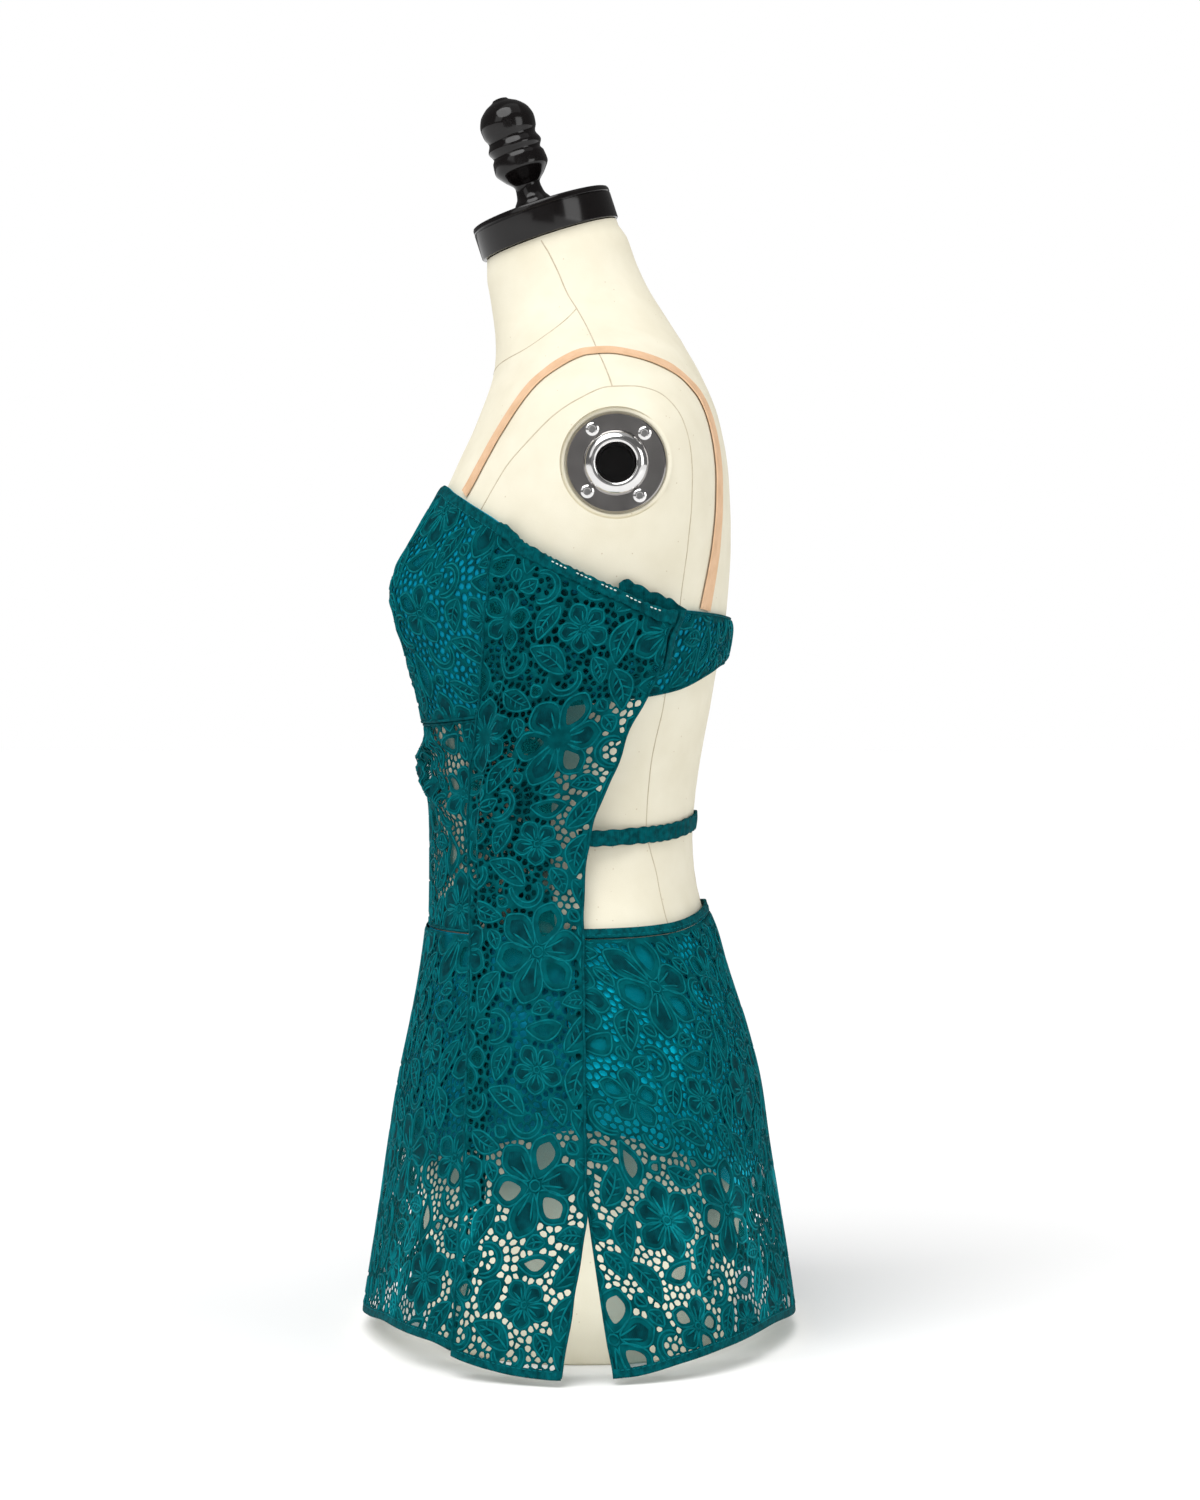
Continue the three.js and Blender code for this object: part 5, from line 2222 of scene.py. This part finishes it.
@dataclass
class Bodice:
    """The cups, the back band, the straps and their edges."""

    front: BodiceFront = field(default_factory=lambda: BodiceFront(
        "bodice_front_lace", "bodice_lace", (18.0, 452.0)))
    band: BackBand = field(default_factory=lambda: BackBand(
        "back_band_corded_lace", "back_band_lace", (60.0, 470.0)))
    neck_fold: float = 7.0
    neck_puff: float = 0.28
    strap_section: tuple[tuple[float, float], ...] = (
        (-4.4, 0.0), (4.4, 0.0), (5.0, 0.1), (4.7, 0.75), (4.1, 1.0), (3.5, 0.8), (0.0, 0.86),
        (-3.5, 0.8), (-4.1, 1.0), (-4.7, 0.75), (-5.0, 0.1),
    )
    back_spread: float = 1.6
    back_shift: float = 3.0

    def build(self) -> list[Piece]:
        """Build the bodice's pieces, linings first.

        Returns:
            The pieces.
        """
        return [
            *self._layers(self.front, "bodice_cups", "bodice_lining", (576, 164)),
            *self._layers(self.band, "back_band_backing", "back_band_lining", (330, 64)),
            *self._neck_edge(),
            *self._straps(),
        ]

    @staticmethod
    def _layers(
        cloth: Cloth, lining: str, node: str, flat: tuple[float, float]
    ) -> list[Piece]:
        """Build one lining, its lace and the lace's cords.

        Args:
            cloth: The lace.
            lining: The lining's name.
            node: The solid that the lining replaces.
            flat: The lining's cut size.

        Returns:
            The pieces.
        """
        place = band_between(cloth.place, cloth.bottom, cloth.top)
        inner = ON_FORM - OVER_CUP
        under = wall(110, 40, place, inner, inner + CUP, 0.3).piece(lining, (Finish.LINING,))
        dress(under, (node,))
        plain_sheet(under, flat)
        lace, *trims = cloth.dressed()
        u = np.linspace(0, 1, 160)
        for edge, height, radius in (
            ("low", cloth.bottom(u) + 0.8, 1.1), ("top", cloth.top(u) - 0.9, 0.95),
        ):
            piping = cloth.edge_cord(f"{lining}_{edge}_piping", u, height, 0.2, radius)
            trims.append(dress(piping))
        sheet(lace, cloth.cut_size, cloth.cloth_area, trims)
        return [under, lace, *trims]

    def _neck_edge(self) -> list[Piece]:
        """Turn the neckline's edge over as a soft folded band with a row of stitches.

        Returns:
            The band and its stitches.
        """
        cloth = self.front
        place = band_between(cloth.place, lambda u: cloth.top(u) - self.neck_fold, cloth.top)
        puffed = lambda u, v, off: place(
            u, v, off + np.where(off > 0, self.neck_puff * np.sin(v * math.pi) - 0.1, 0.0)
            + 0.10 * np.sin(u * 190))
        fold = wall(260, 6, puffed, 0.05, 1.0).piece("bodice_neck_fold", (Finish.TRIM,))
        dress(fold)
        plain_sheet(fold, (575, 2 * self.neck_fold))
        u = np.linspace(0.01, 0.99, 300)
        row = STITCHES.along("bodice_neck_stitches", place, u, np.full(300, 0.12), 1.0)
        return [fold, dress(row)]

    def _straps(self) -> list[Piece]:
        """Run an elastic strap over each shoulder, with fine ribs and a firmer edge.

        Returns:
            The left and the right strap.
        """
        s = np.linspace(0, STRAP_RUN.rows[-1][0], 220)
        height = STRAP_RUN.at("height", s)
        angle = STRAP_RUN.at("angle", s) - self.back_shift * smooth((s - 8) / 4)
        path, out = FORM.off(height, angle, ON_FORM), FORM.normal(height, angle)
        spread = lerp(1.0, self.back_spread, smooth((s - 7) / 5))[:, None]
        skin = tubes([path], [sideways(path, out) * spread], [out], self.strap_section, 1.0)
        run, across = run_along(path), np.array(self.strap_section)[:, 0]
        skin.flat = np.stack(np.broadcast_arrays(across[None], run[:, None]), -1).reshape(-1, 2)
        left = skin.piece("strap_elastic_left", (Finish.ELASTIC,), 0.0, 50)
        straps = {"left": left, "right": mirrored_piece(left, "strap_elastic_right")}
        flat = (self.back_spread * STRAP_WIDTH, float(run[-1]) + 2)
        for side, piece in straps.items():
            dress(piece, (f"shoulder_strap_{side}",))
            plain_sheet(piece, flat)
        return list(straps.values())


@dataclass
class FrontDrape:
    """The sheer midriff with its twist."""

    cloth: Midriff = field(default_factory=lambda: Midriff(
        "midriff_twisted_lace", "midriff_front", (8.0, 330.0)))

    def build(self) -> list[Piece]:
        """Build the midriff's lace, its cords and its seams.

        Returns:
            The pieces.
        """
        cloth = self.cloth
        lace, *trims = cloth.dressed()
        u = np.linspace(0, 1, 120)
        for edge, height in (("waist", cloth.bottom(u) + 1.0), ("bust", cloth.top(u) - 1.0)):
            seam = cloth.edge_cord(f"midriff_{edge}_seam", u, height, 0.4, 1.0)
            trims.append(dress(seam))
        sheet(lace, cloth.cut_size, cloth.cloth_area, trims)
        return [lace, *trims]


@dataclass
class LongSide:
    """One long side panel with its casing and loop, made on the left and mirrored."""

    cloth: SidePanel = field(default_factory=lambda: SidePanel(
        "side_panel_corded_left", "side_panel_left", (-22.0, 84.0)))
    ruffle: float = 0.55
    horn_drop: float = 6.0
    slot_drop: float = 0.23 * CASING_WIDTH
    loop_leg: float = 32.0
    loop_deep: float = 38.0
    loop_proud: float = 6.5
    loop_scallop: float = 1.8
    loop_arc: float = 0.45

    def build(self) -> list[Piece]:
        """Build both sides' panels.

        Returns:
            The pieces, the left side's first.
        """
        cloth = self.cloth
        lace, trims = cloth.lace(), [cloth.cords(), *self._edges()]
        casing, loop = self._casing(), self._loop()
        trims += self._stitches()
        pieces = []
        for side in ("left", "right"):
            pick = lambda piece: piece if side == "left" else mirrored_piece(
                piece, piece.name.replace("_left", "_right"))
            panel = dress(pick(lace), (f"side_panel_{side}",))
            extra = [dress(pick(piece)) for piece in trims]
            sheet(panel, cloth.cut_size, cloth.cloth_area, extra)
            top = dress(pick(casing), (f"top_casing_{side}",))
            plain_sheet(top, (128, 18))
            turn = dress(pick(loop), (f"panel_loop_{side}",))
            plain_sheet(turn, (66, 40))
            pieces += [panel, top, turn, *extra]
        return pieces

    def _edges(self) -> list[Piece]:
        """Roll the side edges and fold the hem.

        Returns:
            The left panel's two rolls and its hem.
        """
        cloth = self.cloth
        return [
            cloth.side_roll("side_panel_front_roll_left", 0.006, 260, 0.95, 0.004),
            cloth.side_roll("side_panel_back_roll_left", 0.994, 260, 0.95, 0.004),
            cloth.hem("side_panel_hem_left", 60, 0.05),
        ]

    def _stitches(self) -> list[Piece]:
        """Stitch the hem, and let the clear elastic show through the casing's narrow slots.

        Returns:
            The left panel's two rows.
        """
        cloth, slots = self.cloth, np.linspace(0.33, 0.93, 160)
        return [
            cloth.hem_stitches("side_panel_hem_stitches_left", np.linspace(0.02, 0.98, 160), 1.2),
            CASING_SLOTS.along("casing_slots_left", cloth.place, slots,
                               self._casing_top(slots) - self.slot_drop, 1.75),
        ]

    def _casing_top(self, across: Array) -> Array:
        """Return the height of the casing's top edge."""
        drop = self.horn_drop * (1 - smooth(across / 0.26))
        return PANEL_TOP.at("top", lerp(PANEL_FRONT, PANEL_BACK, across)) - drop

    def _casing(self) -> Piece:
        """Ruche the elastic casing along the panel's top.

        Returns:
            The left casing.
        """
        top = self._casing_top
        place = band_between(self.cloth.place, lambda u: top(u) - CASING_WIDTH, top)

        def ruched(across: Array, share: Array, off: Values) -> Array:
            """Return points of the gathered casing.

            Args:
                across: Shares across.
                share: Shares up.
                off: How far they stand off the inner skin.

            Returns:
                The points.
            """
            beat = np.sin(across * 118 + 1.7 * np.sin(across * 23)) * np.sin(share * math.pi)
            swell = np.where(off > 0.8, 1.0, 0.0) * self.ruffle * beat
            edge = 0.045 * np.sin(across * 131 + 2 * np.sin(across * 37)) * (2 * share - 1)
            return place(across, share + edge, off - 0.45 + swell)

        skin = wall(240, 8, ruched, 0.0, 2.0, 0.42)
        return skin.piece("top_casing_ruched_left", (Finish.TRIM,))

    def _loop(self) -> Piece:
        """Turn the panel's top back corner in on itself as a loop with a scalloped top.

        Returns:
            The left loop.
        """
        inner = OVER_CUP + LACE + SEAM
        outer = float(PANEL_HANG.at("off", 495) + PANEL_HANG.at("flare", 495))
        radius = (outer - inner) / 2

        def place(u: Array, v: Array, off: Values) -> Array:
            """Return points of the loop.

            Args:
                u: Shares round the loop.
                v: Shares up.
                off: How far they stand off the inner skin.

            Returns:
                The points.
            """
            turn = np.minimum(1, u / self.loop_arc)
            back = radius * np.sin(turn * math.pi)
            leg = self.loop_leg * np.maximum(0, u - self.loop_arc) / (1 - self.loop_arc)
            along = PANEL_BACK + SEAM + 1.4 + back - leg
            crest = self.loop_proud * smooth((u - 0.2) / 0.4) * smooth((1.06 - u) / 0.2)
            wave = np.abs(np.sin(u * 6 * math.pi)) * smooth((u - 0.3) / 0.2)
            top = PANEL_TOP.at("top", np.minimum(along, PANEL_BACK)) + crest + self.loop_scallop * wave
            height = lerp(top - self.loop_deep, top, v)
            y = along + SIDE_EDGES.at("back", height) - PANEL_BACK
            ripple = 0.25 * np.sin(u * 60 + v * 3) * smooth((v - 0.5) / 0.5)
            lift = inner + radius * (1 + np.cos(turn * math.pi)) + off + ripple
            return FORM.off(height, FORM.angle_at(height, y), lift)

        return wall(70, 24, place, 0.0, LACE, 0.4).piece("panel_loop_left_turned", (Finish.TRIM,))


@dataclass
class WaistStrap:
    """The narrow ruched strap that runs across the open back."""

    start: float = 94.0

    def build(self) -> list[Piece]:
        """Build the strap.

        Returns:
            The strap, as a list.
        """
        near = float(PANEL_HANG.at("off", 345)) - WAIST_STRAP_DEEP - SEAM - 0.4

        def place(across: Array, share: Array, off: Values) -> Array:
            """Return points of the strap.

            Args:
                across: Shares across.
                share: Shares up.
                off: How far they stand off the inner skin.

            Returns:
                The points.
            """
            angle = lerp(self.start, 360 - self.start, across)
            turn = folded(angle)
            stand = lerp(near, ON_FORM + 0.3, smooth((turn - self.start) / 30))
            beat = np.sin(across * 190 + 2.2 * np.sin(across * 41))
            swell = np.where(off > 1.0, 0.5, 0.0) * beat * np.sin(share * math.pi)
            width = WAIST_STRAP_WIDTH - 0.8 + 0.7 * np.sin(across * 171 + 2 * np.sin(across * 29))
            height = WAIST_STRAP.at("height", turn) + (share - 0.5) * width
            return FORM.off(height, angle, stand + off + swell)

        strap = wall(420, 9, place, 0.1, WAIST_STRAP_DEEP - 0.4, 0.45).piece(
            "waist_strap_ruched", (Finish.TRIM,))
        dress(strap, ("waist_strap",))
        plain_sheet(strap, (400, 26))
        return [strap]


@dataclass
class Skirt:
    """The skirt's front and back, the waistband and the brief under them."""

    front: SkirtFront = field(default_factory=lambda: SkirtFront(
        "skirt_front_corded_lace", "skirt_front", (-40.0, 20.0)))
    back: SkirtBack = field(default_factory=lambda: SkirtBack(
        "skirt_back_corded_lace", "skirt_back", (52.0, 62.0)))
    brief_gap: float = 0.2
    brief_under: float = 2.6

    def build(self) -> list[Piece]:
        """Build the skirt from the brief outwards.

        Returns:
            The pieces.
        """
        brief_end = BRIEF_SIDE + self.brief_gap
        front_top = lambda turn: np.full(np.shape(turn), FRONT_WAIST - SEAM)
        back_top = lambda turn: BACK_WAIST.at("height", turn) - WAISTBAND_WIDTH - 2 * SEAM
        return [
            self._brief("brief_front", (-BRIEF_SIDE, BRIEF_SIDE), front_top, (430, 160),
                        Finish.LINING),
            # The back half wears the blue lining with painted light; the front half keeps its real
            # colour.
            self._brief("brief_back", (brief_end, 360 - brief_end), back_top, (440, 200),
                        Finish.LINING_PAINTED_LIGHT),
            *self._half(self.front),
            *self._half(self.back),
            *self._waistband(),
        ]

    @staticmethod
    def _half(cloth: Cloth) -> list[Piece]:
        """Build one half of the skirt with its hem and rolled side edges.

        Args:
            cloth: The half's lace.

        Returns:
            The pieces.
        """
        stem = cloth.node
        lace, *trims = cloth.dressed()
        for piece in (
            cloth.hem(f"{stem}_hem_band", 220, 0.0),
            cloth.hem_stitches(f"{stem}_hem_stitches", np.linspace(0.004, 0.996, 420), 1.15),
            cloth.side_roll(f"{stem}_start_roll", 0.002, 180, 0.9),
            cloth.side_roll(f"{stem}_end_roll", 0.998, 180, 0.9),
        ):
            trims.append(dress(piece))
        sheet(lace, cloth.cut_size, cloth.cloth_area, trims)
        return [lace, *trims]

    def _brief(
        self, node: str, ends: tuple[float, float], top: Callable[[Array], Array],
        flat: tuple[float, float], finish: Finish,
    ) -> Piece:
        """Build one half of the brief, which stands off the form above its leg line.

        Args:
            node: The solid that it replaces.
            ends: The angles of its two side seams.
            top: Gives its upper edge's height at each angle.
            flat: Its cut size.
            finish: Its finish.

        Returns:
            The new piece.
        """
        def place(across: Array, share: Array, off: Values) -> Array:
            """Return points of this half.

            Args:
                across: Shares across.
                share: Shares up.
                off: How far they stand off the inner skin.

            Returns:
                The points.
            """
            angle = lerp(*ends, across)
            turn = np.abs(folded(angle))
            height = lerp(LEG_LINE.at("height", turn), top(turn), share)
            close = FORM.off(height, angle, off)
            loose = SKIRT.off(height, angle, -LACE - self.brief_under + (off - ON_FORM))
            out = np.sum((loose - close) * FORM.normal(height, angle), axis=-1)
            part = 0.95 * smooth((share - 0.01) / 0.2) * smooth(out / 4)
            return lerp(close, loose, part[..., None])

        skin = wall(120, 40, place, ON_FORM, ON_FORM + 1.2)
        piece = dress(skin.piece(f"{node}_lining", (finish,)), (node,))
        plain_sheet(piece, flat)
        return piece

    def _waistband(self) -> list[Piece]:
        """Fold the narrow back waistband and stitch it.

        Returns:
            The band and its stitches.
        """
        def place(across: Array, share: Array, off: Values) -> Array:
            """Return points of the band.

            Args:
                across: Shares across.
                share: Shares up.
                off: How far they stand off the inner skin.

            Returns:
                The points.
            """
            angle = lerp(BRIEF_SIDE, 360 - BRIEF_SIDE, across)
            top = BACK_WAIST.at("height", folded(angle))
            return FORM.off(top - WAISTBAND_WIDTH * (1 - share), angle, WAISTBAND_OFF + off)

        band = wall(220, 6, place, 0.05, 2.1, 0.42).piece(
            "back_waistband_folded", (Finish.TRIM,))
        dress(band, ("back_waistband",))
        plain_sheet(band, (400, 16))
        u = np.linspace(0.01, 0.99, 400)
        row = STITCHES.along("back_waistband_stitches", place, u, np.full(400, 0.3), 2.1)
        return [band, dress(row)]


def lamp(
    name: str, kind: str, spot: Sequence[float], aim: Vector, **settings: float
) -> Piece:
    """Hang a lamp.

    Args:
        name: The lamp's name.
        kind: Its type, AREA or SUN.
        spot: Where it hangs, in metres.
        aim: The direction in which it shines.
        settings: Its energy, size or angle.

    Returns:
        The lamp.
    """
    data = bpy.data.lights.new(name, kind)
    for setting, value in settings.items():
        setattr(data, setting, value)
    made = linked(name, data)
    made.location = spot
    made.rotation_euler = aim.to_track_quat("-Z", "Y").to_euler()
    return made


@dataclass
class Studio:
    """The camera at the photograph's angle, a plain pale floor and soft light."""

    distance: float = 2.6
    eye: tuple[float, float] = (0.014, 0.471)
    frame_high: float = 1.05
    sensor: float = 36.0
    drop: float = 100 / 1500
    card_x: float = 3.7
    card_z: float = 0.75
    card_size: float = 2.3
    surround: float = 0.56
    seen_gain: float = 0.44
    gloss_gain: float = -0.42
    lamps: tuple[tuple[str, tuple[float, float, float], float, float], ...] = (
        ("key", (2.2, -1.9, 1.9), 1.6, 7.0), ("side", (2.0, 2.2, 1.2), 1.4, 15.0),
        ("top", (0.3, 0.2, 2.6), 1.8, 3.0),
    )
    sun: float = 2.05
    sun_spread: float = 50.0
    fills: int = 12
    fill_height: float = 68.0
    fill: float = 0.022

    def build(self) -> None:
        """Set up the camera, the floor and the lights."""
        self._camera()
        self._floor()
        self._surround()
        self._lamps()
        bpy.context.scene.view_settings.view_transform = "Standard"

    def _camera(self) -> None:
        """Place the camera level, square on to the wearer's left side."""
        data = bpy.data.cameras.new("camera")
        data.sensor_width = self.sensor
        data.lens = self.sensor * self.distance / self.frame_high
        data.shift_y = -self.drop
        camera = linked("camera", data)
        camera.location = (self.distance, *self.eye)
        camera.rotation_euler = (math.pi / 2, 0.0, math.pi / 2)
        bpy.context.scene.camera = camera

    def _floor(self) -> None:
        """Lay a large plain floor, and stand a dark card behind the camera for the gloss."""
        select_only()
        bpy.ops.mesh.primitive_plane_add(size=30, location=(0, 0, 0))
        floor = bpy.context.object
        spot = (self.card_x, 0, self.card_z)
        bpy.ops.mesh.primitive_plane_add(size=self.card_size, location=spot)
        card = bpy.context.object
        bpy.ops.transform.rotate(value=math.pi / 2, orient_axis="Y", center_override=spot)
        card.visible_camera = card.visible_shadow = False
        for piece, name, finish in (
            (floor, "studio_floor", Finish.FLOOR), (card, "studio_card", Finish.CARD),
        ):
            piece.name = name
            piece.data.materials.append(material_of(finish))

    def _surround(self) -> None:
        """Surround the form with white for the camera, grey for the cloth and dark for the gloss."""
        world = bpy.data.worlds.new("surround")
        world.use_nodes = True
        nodes = Nodes(world.node_tree)
        path = nodes.add("LightPath")
        strength: object = self.surround
        for ray, gain in (("Is Camera Ray", self.seen_gain), ("Is Glossy Ray", self.gloss_gain)):
            inputs = {0: path.outputs[ray], 1: gain, 2: strength}
            strength = nodes.add("Math", inputs, operation="MULTIPLY_ADD").outputs["Value"]
        nodes.feed(world.node_tree.nodes["Background"], {
            "Color": (1.0, 1.0, 1.0, 1), "Strength": strength,
        })
        bpy.context.scene.world = world

    def _lamps(self) -> None:
        """Hang three large soft lamps and a wide sun, and fill the hollow under the skirt."""
        for name, spot, size, power in self.lamps:
            lamp(name, "AREA", spot, Vector((0, 0, 0.45)) - Vector(spot), energy=power, size=size)
        for k in range(self.fills):
            angle = (k + 0.5) * 360 / self.fills
            inner, outer = (body.point(self.fill_height, angle) for body in (FORM, SKIRT))
            aim = Vector(inner - outer)
            aim.z = 0
            fill = lamp("fill", "AREA", lerp(inner, outer, 0.72) * METRES, aim,
                        energy=self.fill, size=0.09)
            fill.visible_camera = False
        lamp("sky", "SUN", (0, 0, 0), Vector((-1.2, 0.65, -2.0)), energy=self.sun,
             angle=math.radians(self.sun_spread))


def main() -> None:
    """Build the studio, the form and the costume, and report each."""
    logging.basicConfig(level=logging.INFO, format="%(name)s: %(message)s")
    Studio().build()
    LOG.info("lace repeat: %d motifs, %d holes", len(REPEAT.motifs), len(REPEAT.holes))
    for maker in (DressForm(), Bodice(), FrontDrape(), LongSide(), WaistStrap(), Skirt()):
        pieces = maker.build()
        faces = sum(len(piece.data.polygons) for piece in pieces)
        LOG.info("%s: %d pieces, %d faces", type(maker).__name__, len(pieces), faces)


if __name__ == "__main__":
    main()
